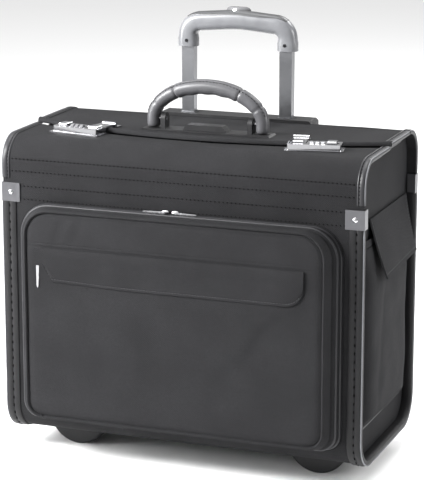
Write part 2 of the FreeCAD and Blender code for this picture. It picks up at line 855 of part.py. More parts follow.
def lock_sets():
    """Both locks: every piece once on the right and mirrored on the left."""
    plate, case = (lock_place(s) for s in lock_bodies())
    save("lock_base_plates", plate, mirrored(plate))
    save("lock_cases", case, mirrored(case))
    for index, x in enumerate(dial_centres()):
        dial = lock_place(lock_dial(x))
        save("lock_dial_right_" + str(index + 1), dial)
        save("lock_dial_left_" + str(index + 1), mirrored(dial))
    slide = lock_place(lock_slide())
    save("lock_slide_right", slide)
    save("lock_slide_left", mirrored(slide))
    hasp = lock_place(lock_hasp())
    save("lock_hasp_right", hasp)
    save("lock_hasp_left", mirrored(hasp))
    leaf = lock_place(hasp_plate())
    save("hasp_hinge_leaves", leaf, mirrored(leaf))


# ---- inside ----

def divider():
    mid = case_depth / 2
    return block(-panel_in, panel_in, mid - divider_sheet / 2, mid + divider_sheet / 2, wall, divider_height)


def build():
    os.makedirs("parts", exist_ok=True)
    case_walls()
    save("rear_top_strip", rear_strip())
    save("end_panel_right", end_panel())
    save("end_panel_left", mirrored(end_panel()))
    save("edge_binding_right", edge_binding())
    save("edge_binding_left", mirrored(edge_binding()))
    brackets = [bracket(0, 1), bracket(case_depth, -1)]
    save("corner_brackets", *brackets, *[mirrored(b) for b in brackets])
    save("bracket_rivets", *rivets())
    save("front_lid", front_lid())
    save("rear_lid", rear_lid())
    save("pocket_welt", pocket_welt())
    save("front_pocket_shell", pocket_shell())
    save("slip_pocket_flap", slip_flap())
    save("slip_zip_pull", slip_tab())
    for name, side in (("left", -1), ("right", 1)):
        save("zip_slider_" + name, zip_slider(side))
        save("zip_pull_" + name, zip_tab(side))
    save("side_pocket_right", side_pocket())
    save("side_pocket_left", mirrored(side_pocket()))
    save("side_flap_right", side_flap())
    save("side_flap_left", mirrored(side_flap()))
    tube_low = bottom_corner_r + socket_height / 2
    save("trolley_sleeves", *hollow_tubes(0, tube_low, lid_top - wall))
    save("trolley_dock", trolley_dock())
    save("trolley_foot_bracket", dock_socket())
    tube_low += middle_tube_proud
    save("trolley_middle_tubes", *hollow_tubes(1, tube_low, lid_top + dock_height + middle_tube_proud))
    save("trolley_inner_tubes", *hollow_tubes(2, tube_low + stage_two_down + tube_play, tube_rest_top))
    save("trolley_grip", trolley_grip())
    save("trolley_grip_screws", *grip_screws())
    save("release_button", button_solid(0))
    save("release_link", link_solid(0))
    for name, place in (("right", lambda s: s), ("left", mirrored)):
        save("wheel_tyre_" + name, place(tyre()))
        save("wheel_hub_" + name, place(hub()))
        save("wheel_axle_" + name, place(axle()))
        save("wheel_housing_" + name, place(wheel_housing()))
        save("front_foot_" + name, place(foot()))
    save("handle_base_plate", handle_base())
    save("handle_pivot_pins", *handle_pins(0).Solids)
    save("carry_handle", handle_bow())
    lock_sets()
    save("interior_divider", divider())


build()
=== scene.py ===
# %% [markdown]
# # A pilot's rolling flight case
# This lesson dresses a finished mechanical model in fabric, leatherette, plastic and metal. The
# mechanical model is loaded first and stays where it is: every new piece is measured from it and
# rides on one of its bodies, so lids, flaps, locks and the trolley keep working.

# %% Load the frame
import json
import math
import bmesh
import bpy
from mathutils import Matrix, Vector, noise


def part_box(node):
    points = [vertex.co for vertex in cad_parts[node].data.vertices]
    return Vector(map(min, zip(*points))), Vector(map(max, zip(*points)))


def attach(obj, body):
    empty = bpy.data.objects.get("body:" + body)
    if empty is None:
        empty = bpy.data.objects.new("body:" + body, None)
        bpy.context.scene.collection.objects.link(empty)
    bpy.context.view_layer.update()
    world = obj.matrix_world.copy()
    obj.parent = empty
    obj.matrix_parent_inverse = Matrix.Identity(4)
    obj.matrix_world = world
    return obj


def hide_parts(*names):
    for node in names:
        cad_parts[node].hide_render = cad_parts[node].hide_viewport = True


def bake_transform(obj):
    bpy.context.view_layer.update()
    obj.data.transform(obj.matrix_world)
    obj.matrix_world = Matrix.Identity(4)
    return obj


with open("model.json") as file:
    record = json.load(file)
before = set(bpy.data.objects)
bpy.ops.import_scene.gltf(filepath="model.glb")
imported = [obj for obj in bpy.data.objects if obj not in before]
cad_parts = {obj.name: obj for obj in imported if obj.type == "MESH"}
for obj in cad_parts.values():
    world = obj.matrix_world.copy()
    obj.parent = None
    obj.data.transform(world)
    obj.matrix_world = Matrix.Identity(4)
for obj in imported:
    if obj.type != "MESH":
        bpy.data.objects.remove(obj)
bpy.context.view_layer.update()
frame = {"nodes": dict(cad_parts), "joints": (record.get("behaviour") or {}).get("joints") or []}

nodes = frame["nodes"]

# %% [markdown]
# ## Measuring from the frame
# A case maker measures from the outside of the board: so many millimetres back from the front face,
# so many up from the underside. Two small functions give those depths and heights, and one joins
# them into a point, so that all later numbers are real millimetres.

# %% Depths, heights and the main sizes
MM = 0.001
front_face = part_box("front_wall")[0].y
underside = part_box("base_wrap")[0].z
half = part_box("front_wall")[1].x / MM
case_depth = (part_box("rear_wall")[1].y - front_face) / MM
fold = (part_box("front_wall")[1].z - underside) / MM
bracket_low = (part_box("corner_brackets")[0].z - underside) / MM
bracket_high = (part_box("corner_brackets")[1].z - underside) / MM
board = 5.0
bottom_r = 40.0
top_r = 34.0


def point(x, depth, height):
    """A place from millimetres across, back from the front face and up from the underside."""
    return Vector((x * MM, front_face + depth * MM, underside + height * MM))


def top_of(node):
    return (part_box(node)[1].z - underside) / MM


front_top = top_of("front_lid")
rear_top = top_of("rear_lid")
print("case", 2 * half, "x", round(case_depth), "x", round(rear_top), "mm, fold at", round(fold))

# %% [markdown]
# ## Turning points into pieces
# Sewn and moulded shapes are easiest to describe as rows of points, the way a loft is drawn. One
# function closes rows into tubes, and another gives a sheet its thickness by joining an outer and an
# inner grid round every open edge. Both end in the same place, where normals are made to agree,
# creases are marked by angle and the piece is put on its body.

# %% Mesh helpers
def finish_mesh(name, verts, faces, finish, body, crease=38):
    """A named piece with clean normals that rides on a body."""
    mesh = bpy.data.meshes.new(name)
    work = bmesh.new()
    made = [work.verts.new(v) for v in verts]
    for face in faces:
        corners = [made[i] for i in face]
        if len(set(corners)) > 2 and work.faces.get(corners) is None:
            work.faces.new(corners)
    bmesh.ops.remove_doubles(work, verts=work.verts, dist=1e-6)
    bmesh.ops.delete(work, geom=[v for v in work.verts if not v.link_faces], context="VERTS")
    bmesh.ops.recalc_face_normals(work, faces=work.faces)
    work.to_mesh(mesh)
    work.free()
    mesh.shade_smooth()
    mesh.set_sharp_from_angle(angle=math.radians(crease))
    mesh.materials.append(finish)
    piece = bpy.data.objects.new(name, mesh)
    bpy.context.scene.collection.objects.link(piece)
    if body:
        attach(piece, body)
    return piece


def tube(name, rows, finish, body, loop=False, crease=38):
    """Closed rings joined row by row; loop joins the last row to the first, else both ends are capped."""
    count = len(rows[0])
    verts = [p for row in rows for p in row]
    faces = []
    for i in range(len(rows) if loop else len(rows) - 1):
        here, there = i * count, (i + 1) % len(rows) * count
        for j in range(count):
            k = (j + 1) % count
            faces.append((here + j, here + k, there + k, there + j))
    if not loop:
        faces.append(tuple(range(count)))
        faces.append(tuple(range(len(verts) - count, len(verts))))
    return finish_mesh(name, verts, faces, finish, body, crease)


def sheet(name, outer, inner, finish, body, keep=None, crease=38):
    """Two grids of points, outer and inner, joined round every open edge; keep says which cells exist."""
    n, m = len(outer), len(outer[0])
    verts = [p for row in outer for p in row] + [p for row in inner for p in row]
    faces = []
    rim = {}
    for i in range(n - 1):
        for j in range(m - 1):
            if keep and not keep((outer[i][j] + outer[i + 1][j + 1]) / 2):
                continue
            cell = [i * m + j, (i + 1) * m + j, (i + 1) * m + j + 1, i * m + j + 1]
            faces.append(cell)
            faces.append([n * m + v for v in reversed(cell)])
            for a, b in zip(cell, cell[1:] + cell[:1]):
                if rim.pop((b, a), None) is None:
                    rim[(a, b)] = True
    faces += [[b, a, n * m + a, n * m + b] for a, b in rim]
    return finish_mesh(name, verts, faces, finish, body, crease)


# %% [markdown]
# ## Lines to follow
# Almost everything on a case follows an edge: the board goes down the front, round the base and up
# the back, and bindings, seams and stitches follow it. A line is a list of pairs, a flat point and
# its outward direction, made of straight runs and bends. A run takes extra points round each seam,
# where the fabric dips, and stays coarse elsewhere.

# %% Runs, bends and closed outlines
def spread(start, end, step, marks=()):
    """Values from start to end about one step apart, with more of them round each mark."""
    count = max(1, round(abs(end - start) / step))
    values = {round(start + (end - start) * i / count, 3) for i in range(count + 1)}
    low, high = min(start, end), max(start, end)
    for mark in marks:
        values |= {round(mark + s, 3) for s in (-2.4, -1.4, -0.7, 0, 0.7, 1.4, 2.4) if low < mark + s < high}
    return sorted(values, reverse=end < start)


def run(start, end, step=8.0, marks=()):
    """A straight line between two flat points; marks are heights, or depths on a level run."""
    (u0, v0), (u1, v1) = start, end
    length = math.hypot(u1 - u0, v1 - v0)
    out = Vector(((v1 - v0) / length, (u0 - u1) / length))
    if abs(u1 - u0) < 1e-9:
        return [(Vector((u0, v)), out) for v in spread(v0, v1, step, marks)]
    return [(Vector((u, v0 + (v1 - v0) * (u - u0) / (u1 - u0))), out) for u in spread(u0, u1, step, marks)]


def bend(centre, radius, first, last, step=7.5):
    """A quarter bend or any other arc, between two angles in degrees."""
    count = max(2, round(abs(last - first) / step))
    line = []
    for i in range(count + 1):
        angle = math.radians(first + (last - first) * i / count)
        out = Vector((math.cos(angle), math.sin(angle)))
        line.append((Vector(centre) + radius * out, out))
    return line


def joined(*parts):
    """One line from several, without the doubled points where they meet."""
    line = []
    for part in parts:
        line += [s for s in part if not line or (s[0] - line[-1][0]).length > 0.05]
    return line


def round_box(side, low, high, lower_r, upper_r, counts=(50, 32)):
    """A closed outline across the front, anticlockwise from the lower left, with rounded corners.
    counts are the steps along each level and each upright side, so that outlines of two sizes match."""
    def straight(start, end, count):
        return run(start, end, math.dist(start, end) / count)
    line = joined(straight((lower_r - side, low), (side - lower_r, low), counts[0]),
                  bend((side - lower_r, low + lower_r), lower_r, -90, 0),
                  straight((side, low + lower_r), (side, high - upper_r), counts[1]),
                  bend((side - upper_r, high - upper_r), upper_r, 0, 90),
                  straight((side - upper_r, high), (upper_r - side, high), counts[0]),
                  bend((upper_r - side, high - upper_r), upper_r, 90, 180),
                  straight((-side, high - upper_r), (-side, low + lower_r), counts[1]),
                  bend((lower_r - side, low + lower_r), lower_r, 180, 270))
    return line[:-1]


def ripple(x, y, z, size, height):
    """A soft unevenness in millimetres, the same at the same place every time."""
    return height * noise.noise(Vector((x, y, z)) / size)


# %% [markdown]
# ## Colours and shader nodes
# Colours are written the way a paint chip is, as sRGB hex, and turned to linear light once. One
# function adds a shader node with its settings and links, so each finish reads as a short recipe.

# %% Node helpers
def paint(code):
    """An sRGB hex colour as the linear one that shaders need."""
    parts = [int(code[i:i + 2], 16) / 255 for i in (1, 3, 5)]
    return (*[c / 12.92 if c <= 0.04045 else ((c + 0.055) / 1.055) ** 2.4 for c in parts], 1.0)


def add(tree, kind, inputs=None, **settings):
    """One node; inputs maps a socket's name or number to a value, or to another node's output."""
    made = tree.nodes.new(kind)
    for key, value in settings.items():
        setattr(made, key, value)
    for socket, value in (inputs or {}).items():
        if isinstance(value, bpy.types.NodeSocket):
            tree.links.new(value, made.inputs[socket])
        else:
            made.inputs[socket].default_value = value
    return made


def surface(name, colour, rough, **sockets):
    """A new material with one Principled shader; returns the material, its tree and the shader."""
    made = bpy.data.materials.new(name)
    made.use_nodes = True
    shader = made.node_tree.nodes["Principled BSDF"]
    shader.inputs["Base Color"].default_value = paint(colour)
    shader.inputs["Roughness"].default_value = rough
    for socket, value in sockets.items():
        shader.inputs[socket.replace("_", " ")].default_value = value
    return made, made.node_tree, shader


def two_tone(tree, shader, factor, dark, light):
    """Colour that wanders between two shades with a pattern."""
    mix = add(tree, "ShaderNodeMix", {0: factor, 6: paint(dark), 7: paint(light)}, data_type="RGBA")
    tree.links.new(mix.outputs[2], shader.inputs["Base Color"])


def raise_by(tree, shader, height, distance, strength=1.0):
    """Relief from a pattern, distance in millimetres."""
    bump = add(tree, "ShaderNodeBump", {"Height": height, "Distance": distance * MM, "Strength": strength})
    tree.links.new(bump.outputs[0], shader.inputs["Normal"])


def place_in_mm(tree, turn=(0, 0, 0), scale=(1, 1, 1)):
    """The object's own coordinates in millimetres, turned and stretched as a pattern needs."""
    here = add(tree, "ShaderNodeTexCoord")
    mapped = add(tree, "ShaderNodeMapping", {0: here.outputs["Object"], 2: turn,
                                             3: tuple(s / MM for s in scale)})
    return mapped.outputs[0]


def speckle(tree, size, detail=3.0, scale=(1, 1, 1)):
    """Noise with a real grain size in millimetres."""
    grain = add(tree, "ShaderNodeTexNoise", {"Vector": place_in_mm(tree, scale=scale), "Scale": 1 / size,
                                             "Detail": detail, "Roughness": 0.55})
    return grain.outputs["Fac"]


# %% [markdown]
# ## Ballistic nylon
# The body, lids and pockets are ballistic nylon: thick filament yarn in a plain basket weave, dyed
# black and coated on the back. To the eye it is matt and dark, with a fine grain and hardly any gloss,
# so it gets little specular light and no sheen. The yarns stand about 0.6 mm apart, too fine to show
# in the render, so the weave is drawn at 1.7 mm. Three sets of ridges are laid on the diagonals of
# space, so that two of them always cross on a face, whichever way it looks, and no unwrapping is needed.

# %% The weave
def weave(tree, pitch):
    """Crossing ridges on every face, as one height."""
    per_mm = 2 * math.pi / (pitch * math.sqrt(2))
    ridges = []
    for direction in ((1, 1, 1), (1, -1, -1), (1, 1, -1)):
        along = add(tree, "ShaderNodeVectorMath", {0: place_in_mm(tree), 1: direction},
                    operation="DOT_PRODUCT")
        turn = add(tree, "ShaderNodeMath", {0: along.outputs["Value"], 1: per_mm}, operation="MULTIPLY")
        ridges.append(add(tree, "ShaderNodeMath", {0: turn.outputs[0]}, operation="SINE").outputs[0])
    first = add(tree, "ShaderNodeMath", {0: ridges[0], 1: ridges[1]}, operation="MAXIMUM")
    return add(tree, "ShaderNodeMath", {0: first.outputs[0], 1: ridges[2]}, operation="MAXIMUM").outputs[0]


def woven(name, dark, light, pitch, rough=0.78, relief=0.22, sheen=0.0):
    """A woven cloth: yarn relief, yarn colour and slow patches of wear and handling."""
    made, tree, shader = surface(name, light, rough, Sheen_Weight=sheen, Sheen_Roughness=0.45,
                                 Specular_IOR_Level=0.12)
    shader.inputs["Sheen Tint"].default_value = paint("#c8c8cc")
    yarns = weave(tree, pitch)
    patches = speckle(tree, 60.0, 4.0)
    grain = speckle(tree, 1.5, 2.0)
    mixed = add(tree, "ShaderNodeMath", {0: patches, 1: grain}, operation="MULTIPLY_ADD")
    mixed.inputs[2].default_value = 0.08
    shade = add(tree, "ShaderNodeMath", {0: yarns, 1: 0.16, 2: mixed.outputs[0]}, operation="MULTIPLY_ADD")
    two_tone(tree, shader, shade.outputs[0], dark, light)
    relief_height = add(tree, "ShaderNodeMath", {0: grain, 1: 1.2, 2: yarns}, operation="MULTIPLY_ADD")
    raise_by(tree, shader, relief_height.outputs[0], relief)
    return made


nylon = woven("ballistic_nylon_woven", "#0f0f10", "#2b2b2d", 1.7)
tape = woven("polyester_tape_woven", "#0d0d0e", "#222224", 1.1, rough=0.85, relief=0.15)
lining = woven("polyester_lining_woven", "#2c2d31", "#4b4d52", 1.0, rough=0.6, relief=0.08, sheen=0.3)
print("woven cloths:", nylon.name, tape.name, lining.name)

# %% [markdown]
# ## Leatherette
# The edge binding, the piping and the carry handle are leatherette: a knitted backing under a skin of
# PVC that was embossed with a pebble grain while soft. The skin is smoother than cloth, so it
# catches a broad, soft highlight, broken up by pebbles about 1.2 mm across and by finer pores. The thin
# cord along the outer corner of every bound edge is painted pale grey, a painted highlight that draws a
# light line round each end.

# %% Embossed leatherette
def embossed(name, dark, light, rough, pebble=1.2, shine=0.4):
    """PVC skin with a pebble grain."""
    made, tree, shader = surface(name, light, rough, Specular_IOR_Level=shine, IOR=1.52)
    cells = add(tree, "ShaderNodeTexVoronoi", {"Vector": place_in_mm(tree), "Scale": 1 / pebble},
                feature="SMOOTH_F1")
    pores = speckle(tree, 0.5, 2.0)
    height = add(tree, "ShaderNodeMath", {0: pores, 1: 0.35, 2: cells.outputs["Distance"]},
                 operation="MULTIPLY_ADD")
    two_tone(tree, shader, speckle(tree, 25.0, 5.0), dark, light)
    raise_by(tree, shader, height.outputs[0], 0.14, 0.7)
    return made


binding_skin = embossed("pvc_leatherette_embossed", "#0f0f10", "#1c1c1e", 0.50, shine=0.22)
handle_skin = embossed("pvc_handle_wrap_embossed", "#353537", "#525255", 0.40, pebble=1.6, shine=0.4)
piping_skin = embossed("pvc_piping_extruded", "#161618", "#29292c", 0.42, pebble=0.8, shine=0.3)
# The cord's pale grey is a painted highlight along the rounded outer corner of the bound edges.
edge_cord_painted_highlight = embossed("pvc_edge_cord_extruded_painted_highlight", "#55565a", "#707175", 0.40, pebble=0.8)
print("leatherettes:", binding_skin.name, handle_skin.name, piping_skin.name, edge_cord_painted_highlight.name)

# %% [markdown]
# ## Metals
# Three metals show. The locks and rivets are zinc and steel plated with chrome: nearly a mirror,
# with faint smudges that only change the roughness. The corner clips are nickel plate brushed dull.
# The trolley tubes are extruded aluminium, drawn through a die and anodised, so fine lines run
# along them and stretch each highlight lengthways.

# %% Plated and anodised metal
def metal(name, colour, rough, smudge, lines=None, relief=0.02):
    """A metal with smudged roughness; lines gives the stretch of its brushing along each axis."""
    made, tree, shader = surface(name, colour, rough, Metallic=1.0)
    blur = speckle(tree, 6.0, 4.0)
    spread_out = add(tree, "ShaderNodeMapRange", {"Value": blur, "From Min": 0.35, "From Max": 0.65,
                                                  "To Min": rough - smudge, "To Max": rough + smudge})
    tree.links.new(spread_out.outputs[0], shader.inputs["Roughness"])
    if lines:
        raise_by(tree, shader, speckle(tree, 0.5, 3.0, lines), relief, 0.6)
    else:
        raise_by(tree, shader, speckle(tree, 1.5, 3.0), relief, 0.4)
    return made


chrome = metal("chrome_plate_polished", "#c9c9cc", 0.12, 0.03)
nickel = metal("nickel_plate_brushed", "#6d6d70", 0.36, 0.04, (0.06, 1, 1), 0.05)
zip_metal = metal("zinc_plate_tumbled", "#c9c9cc", 0.26, 0.06)
aluminium = metal("aluminium_anodised_drawn", "#88898c", 0.30, 0.02, (1, 1, 0.03), 0.03)
screw_steel = metal("steel_blackened", "#2e2e30", 0.35, 0.06)
print("metals:", chrome.name, nickel.name, aluminium.name)

# %% [markdown]
# ## Plastics, rubber and thread
# Feet, dock and wheel housings are black ABS from a spark-eroded mould, which leaves a fine even
# texture. The trolley grip is grey nylon plastic, smoother and glossier where hands polish it. The
# tyre is cast polyurethane. Thread is bonded polyester, a little shinier than the cloth. The black
# thread is really black, and its near-black tone, darker than the cloth, is partly painted shade for the
# stitch holes.

# %% Moulded finishes
def moulded(name, dark, light, rough, grain=0.9, relief=0.06, **sockets):
    """Plastic with mould texture, slow colour drift and roughness that wears smoother in patches."""
    made, tree, shader = surface(name, light, rough, IOR=1.5, **sockets)
    wear = speckle(tree, 18.0, 4.0)
    two_tone(tree, shader, wear, dark, light)
    polish = add(tree, "ShaderNodeMapRange", {"Value": wear, "From Min": 0.3, "From Max": 0.7,
                                              "To Min": rough - 0.07, "To Max": rough + 0.07})
    tree.links.new(polish.outputs[0], shader.inputs["Roughness"])
    raise_by(tree, shader, speckle(tree, grain, 2.0), relief, 0.8)
    return made


abs_black = moulded("abs_black_textured", "#121213", "#1e1e20", 0.5, Specular_IOR_Level=0.3)
grip_grey = moulded("nylon_plastic_grey_moulded", "#58595c", "#707174", 0.36, relief=0.03, Coat_Weight=0.15)
grip_inlay = moulded("nylon_plastic_dark_moulded", "#29292b", "#38393b", 0.42, relief=0.03)
tyre_rubber = moulded("polyurethane_tyre_cast", "#0e0e0f", "#1a1a1b", 0.62, grain=2.0, relief=0.1)
# Black thread painted near-black, darker than the cloth: partly painted shade for the stitch holes.
thread_black_painted_shade = moulded("polyester_thread_bonded_black_painted_shade", "#020203", "#070708", 0.8, grain=0.4,
                      Specular_IOR_Level=0.1)
thread_grey = moulded("polyester_thread_bonded_grey", "#2c2c2e", "#404043", 0.6, grain=0.4)
print("moulded finishes:", abs_black.name, grip_grey.name, tyre_rubber.name)

# %% [markdown]
# ## Dressing the metal and plastic parts
# Locks, clips, tubes, wheels and feet already have their true shapes in the frame. They stay as they
# are and only get their finish, each from a list that says which nodes it covers.

# %% Finishes for the frame's own parts
dressed = {
    nickel: ["corner_brackets"],
    chrome: ["bracket_rivets", "lock_base_plates", "lock_cases", "lock_slide_left", "lock_slide_right",
             "lock_hasp_left", "lock_hasp_right", "hasp_hinge_leaves", "handle_pivot_pins"],
    aluminium: ["trolley_inner_tubes", "trolley_middle_tubes", "trolley_sleeves"],
    # The handle base plate is black partly as painted shade: its edges stand for the shadow round the
    # handle's leg ends.
    abs_black: ["trolley_dock", "trolley_foot_bracket", "wheel_housing_left", "wheel_housing_right",
                "wheel_hub_left", "wheel_hub_right", "front_foot_left", "front_foot_right",
                "handle_base_plate"],
    tyre_rubber: ["wheel_tyre_left", "wheel_tyre_right"],
    screw_steel: ["trolley_grip_screws", "release_link", "wheel_axle_left", "wheel_axle_right"],
    nylon: ["end_panel_left", "end_panel_right"],
    lining: ["interior_divider"],
}
for finish, names in dressed.items():
    for node_name in names:
        nodes[node_name].data.materials.clear()
        nodes[node_name].data.materials.append(finish)
print("dressed", sum(len(names) for names in dressed.values()), "frame parts")

# %% [markdown]
# ## Stitches
# A stitch is a short raised length of thread whose ends dive into the cloth. Drawn one by one they
# throw the small dark dashes that make a seam read as sewn, helped by painted shade: the thread is
# near-black, darker than the cloth. The function walks along a path of points, each with the direction
# that faces out of the cloth, and lays one grain of thread per pitch.

# %% Sewing along a path
def sew(name, path, finish, body, pitch=4.2, length=2.7, thick=0.9, closed=False):
    """Stitches along (point, outward) pairs in metres; sizes are millimetres."""
    if closed:
        path = path + path[:1]
    verts, faces = [], []
    travelled, due = 0.0, pitch / 2
    for (p0, out0), (p1, out1) in zip(path, path[1:]):
        span = (p1 - p0).length / MM
        if span < 1e-6:
            continue
        along = (p1 - p0).normalized()
        while due <= travelled + span:
            share = (due - travelled) / span
            out = out0.lerp(out1, share).normalized()
            across = along.cross(out).normalized()
            centre = p0.lerp(p1, share)
            first = len(verts)
            for t, fat, lift in ((-0.5, 0.25, -0.45), (-0.28, 0.9, 0.1), (0.0, 1.0, 0.3),
                                 (0.28, 0.9, 0.1), (0.5, 0.25, -0.45)):
                for k in range(6):
                    turn = math.tau * k / 6
                    side = across * math.cos(turn) + out * math.sin(turn)
                    verts.append(centre + along * t * length * MM + out * lift * thick * MM
                                 + side * fat * thick / 2 * MM)
            for ring in range(4):
                for k in range(6):
                    a, b = first + ring * 6 + k, first + ring * 6 + (k + 1) % 6
                    faces.append((a, b, b + 6, a + 6))
            faces.append(tuple(first + k for k in range(6)))
            faces.append(tuple(first + 24 + k for k in range(6)))
            due += pitch
        travelled += span
    return finish_mesh(name, verts, faces, finish, body, crease=80)


def level_path(heights_out, x0, x1, place):
    """A path across the case: place(x) gives the point, and heights_out the direction out."""
    return [(place(x), heights_out) for x in spread(x0, x1, 6.0)]


# %% [markdown]
# ## The wrapper
# One long board covered in nylon makes the front, base, back and the strip behind the lid. It is
# drawn as a line from the front fold down, round both lower corners and up over the rear corner, then
# carried across the case. The cloth dips where seams pull it down and wanders by a few tenths of a
# millimetre. Cells are left out where the wheel housings and the trolley tubes pass.

# %% Wrapper, base and back
seams = (364.0, 348.0, 329.0, 312.0)
seam_dip = 0.25
skin_low = seams[2]
skin_high = seams[1]
cloth = 1.5


def dip(height):
    """How far the seams pull the front cloth in at a height."""
    return sum(seam_dip * math.exp(-((height - seam) / 1.3) ** 2) for seam in seams)


def across(x_marks=(), step=9.0):
    """Places across the case, with extra ones at each mark on both sides."""
    places = set(spread(-half, half, step))
    for mark in x_marks:
        places |= {mark, -mark}
    return sorted(places)


def board_rows(line, places, thickness, level=0.0, wander=0.45):
    """Outer and inner grids of a board that follows a line right across the case."""
    outer, inner = [], []
    for x in places:
        row_out, row_in = [], []
        for (u, v), out in line:
            sunk = level - dip(v) * (u < 1) + ripple(x, u, v, 45, wander)
            row_out.append(point(x, u + out.x * sunk, v + out.y * sunk))
            row_in.append(point(x, u - out.x * thickness, v - out.y * thickness))
        outer.append(row_out)
        inner.append(row_in)
    return outer, inner


housing_low, housing_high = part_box("wheel_housing_right")
sleeve_low, sleeve_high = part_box("trolley_sleeves")
slot_inner, slot_outer, slot_foot = 55.5, 80.5, 370.0
strip_front = 197.5


def wrapper_cell(middle):
    """False where a wheel housing or a trolley sleeve goes through the board."""
    x = abs(middle.x)
    if housing_low.x < x < housing_high.x and middle.y > housing_low.y and middle.z < housing_high.z:
        return False
    in_slot = slot_inner * MM < x < slot_outer * MM and sleeve_low.y < middle.y < sleeve_high.y
    return not (in_slot and middle.z > underside + slot_foot * MM)


wrapper_line = joined(
    run((0, skin_low), (0, bottom_r), 9.0, seams),
    bend((bottom_r, bottom_r), bottom_r, 180, 270),
    run((bottom_r, 0), (case_depth - bottom_r, 0), 9.0, [(housing_low.y - front_face) / MM]),
    bend((case_depth - bottom_r, bottom_r), bottom_r, 270, 360, 3.75),
    run((case_depth, bottom_r), (case_depth, rear_top - top_r), 9.0),
    bend((case_depth - top_r, rear_top - top_r), top_r, 0, 90, 5.0),
    run((case_depth - top_r, rear_top), (strip_front, rear_top), 4.0))
x_marks = (housing_low.x / MM, housing_high.x / MM, slot_inner, slot_outer)
outer, inner = board_rows(wrapper_line, across(x_marks), board)
wrapper = sheet("wrapper_nylon", outer, inner, nylon, "case", wrapper_cell)
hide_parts("front_wall", "base_wrap", "rear_wall", "rear_top_strip")
stub_line = run((cloth + 0.2, fold), (cloth + 0.2, skin_low - 1), 3.0)
outer, inner = board_rows(stub_line, across(), board - cloth - 0.2, wander=0.0)
stub = sheet("front_board_edge", outer, inner, nylon, "case")
print("wrapper", len(wrapper.data.polygons), "faces")

# %% [markdown]
# ## The lining
# Inside, the boards are covered with a thin grey polyester that is glued down and never quite flat.
# It is a second, thinner sheet on the inside of the same line, and it shows when the lids open.

# %% Lining of the wrapper
lining_gap = board + 0.3
lining_line = joined(
    run((lining_gap, fold - 8), (lining_gap, bottom_r), 12.0),
    bend((bottom_r, bottom_r), bottom_r - lining_gap, 180, 270),
    run((bottom_r, lining_gap), (172, lining_gap), 12.0))
outer, inner = board_rows(lining_line, [x * 0.925 for x in across()], 0.6, wander=0.0)
lining_front = sheet("lining_front_and_base", outer, inner, lining, "case")
lining_line = joined(
    run((case_depth - lining_gap, 60), (case_depth - lining_gap, rear_top - top_r), 12.0),
    bend((case_depth - top_r, rear_top - top_r), top_r - lining_gap, 0, 40))
outer, inner = board_rows(lining_line, [x * 0.925 for x in across()], 0.6, wander=0.0)
lining_rear = sheet("lining_rear", outer, inner, lining, "case",
                    lambda middle: not 0.054 < abs(middle.x) < 0.082)
print("lining pieces: 2")

# %% [markdown]
# ## The front lid
# The front lid is the same board going on upwards: past the soft fold, round the top corner and
# back to a curved edge where it meets the rear lid. Its line ends at a different depth for each
# place across, so the last run is stretched to the curve of the mouth.

# %% Mouth curve and front lid
mouth_centre = 56.0
mouth_end = 108.0
mouth_sag = mouth_end - mouth_centre
mouth_radius = (half ** 2 + mouth_sag ** 2) / (2 * mouth_sag)


def mouth(x):
    """Depth of the curved split between the lids."""
    return mouth_centre + mouth_radius - math.sqrt(mouth_radius ** 2 - x ** 2)


lid_board = 4.0
lid_outer, lid_inner = [], []
for x in across():
    edge = mouth(x) - 0.9
    line = joined(run((edge, front_top), (top_r, front_top), 5.0),
                  bend((top_r, front_top - top_r), top_r, 90, 180),
                  run((0, front_top - top_r), (0, skin_high), 9.0, seams))
    level_count = 10
    line = ([(Vector((edge + (top_r - edge) * i / level_count, front_top)), Vector((0, 1)))
             for i in range(level_count)] + line[[s[0].x <= top_r + 1e-6 for s in line].index(True):])
    row_out, row_in = [], []
    for (u, v), out in line:
        edge_roll = 1.4 * math.exp(-((edge - u) / 1.5) ** 2) if v > front_top - 1 else 0.0
        sunk = ripple(x, u, v, 45, 0.4) - dip(v) * (u < 1) - edge_roll
        row_out.append(point(x, u + out.x * sunk, v + out.y * sunk))
        row_in.append(point(x, u - out.x * lid_board, v - out.y * lid_board))
    lid_outer.append(row_out)
    lid_inner.append(row_in)
front_lid = sheet("front_lid_nylon", lid_outer, lid_inner, nylon, "front_lid")
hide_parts("front_lid")
stub_line = run((cloth + 0.2, skin_high + 1), (cloth + 0.2, fold + 0.6), 3.0)
outer, inner = board_rows(stub_line, across(), board - cloth - 0.2, wander=0.0)
lid_stub = sheet("front_lid_board_edge", outer, inner, nylon, "front_lid")
print("front lid", len(front_lid.data.polygons), "faces, mouth radius", round(mouth_radius), "mm")

# %% [markdown]
# ## The soft fold
# Between two seams there is no board, only cloth, and that is what lets the front lid drop forward.
# It is a strip of its own, put on neither body.

# %% Fold panel
fold_line = run((0, skin_high), (0, skin_low), 2.0, seams)
outer, inner = board_rows(fold_line, across(), cloth)
fold_panel = sheet("front_fold_nylon", outer, inner, nylon, None)
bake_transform(fold_panel)
for number, seam in enumerate(seams):
    body = "front_lid" if seam >= skin_high else "case"
    path = level_path(Vector((0, -1, 0)), 10 - half, half - 10, lambda x: point(x, 0.45, seam))
    stitches = sew("front_seam_" + str(number + 1), path, thread_black_painted_shade, body, 5.4, 2.9, 1.7)
print("fold panel and", len(seams), "seams")

# %% [markdown]
# ## The rear lid
# The rear lid is a flat board whose front border is rolled over a cord. The roll lies over the
# mouth and throws a dark line under it. Each section is a closed ring: round the nose, over the roll,
# down into the seam behind it and back along the flat top.

# %% Rear lid with its rolled border
roll_width = 11.0
roll_rise = 2.6
lid_back = 196.5


def lid_top_at(behind):
    """Height of the rear lid's cloth above its board at a distance behind the mouth."""
    if behind < roll_width:
        off_middle = (behind - roll_width / 2) / (roll_width / 2)
        return roll_rise * math.sqrt(max(0.0, 1 - off_middle ** 2)) ** 0.8
    return -0.6 * math.exp(-((behind - roll_width) / 1.2) ** 2)


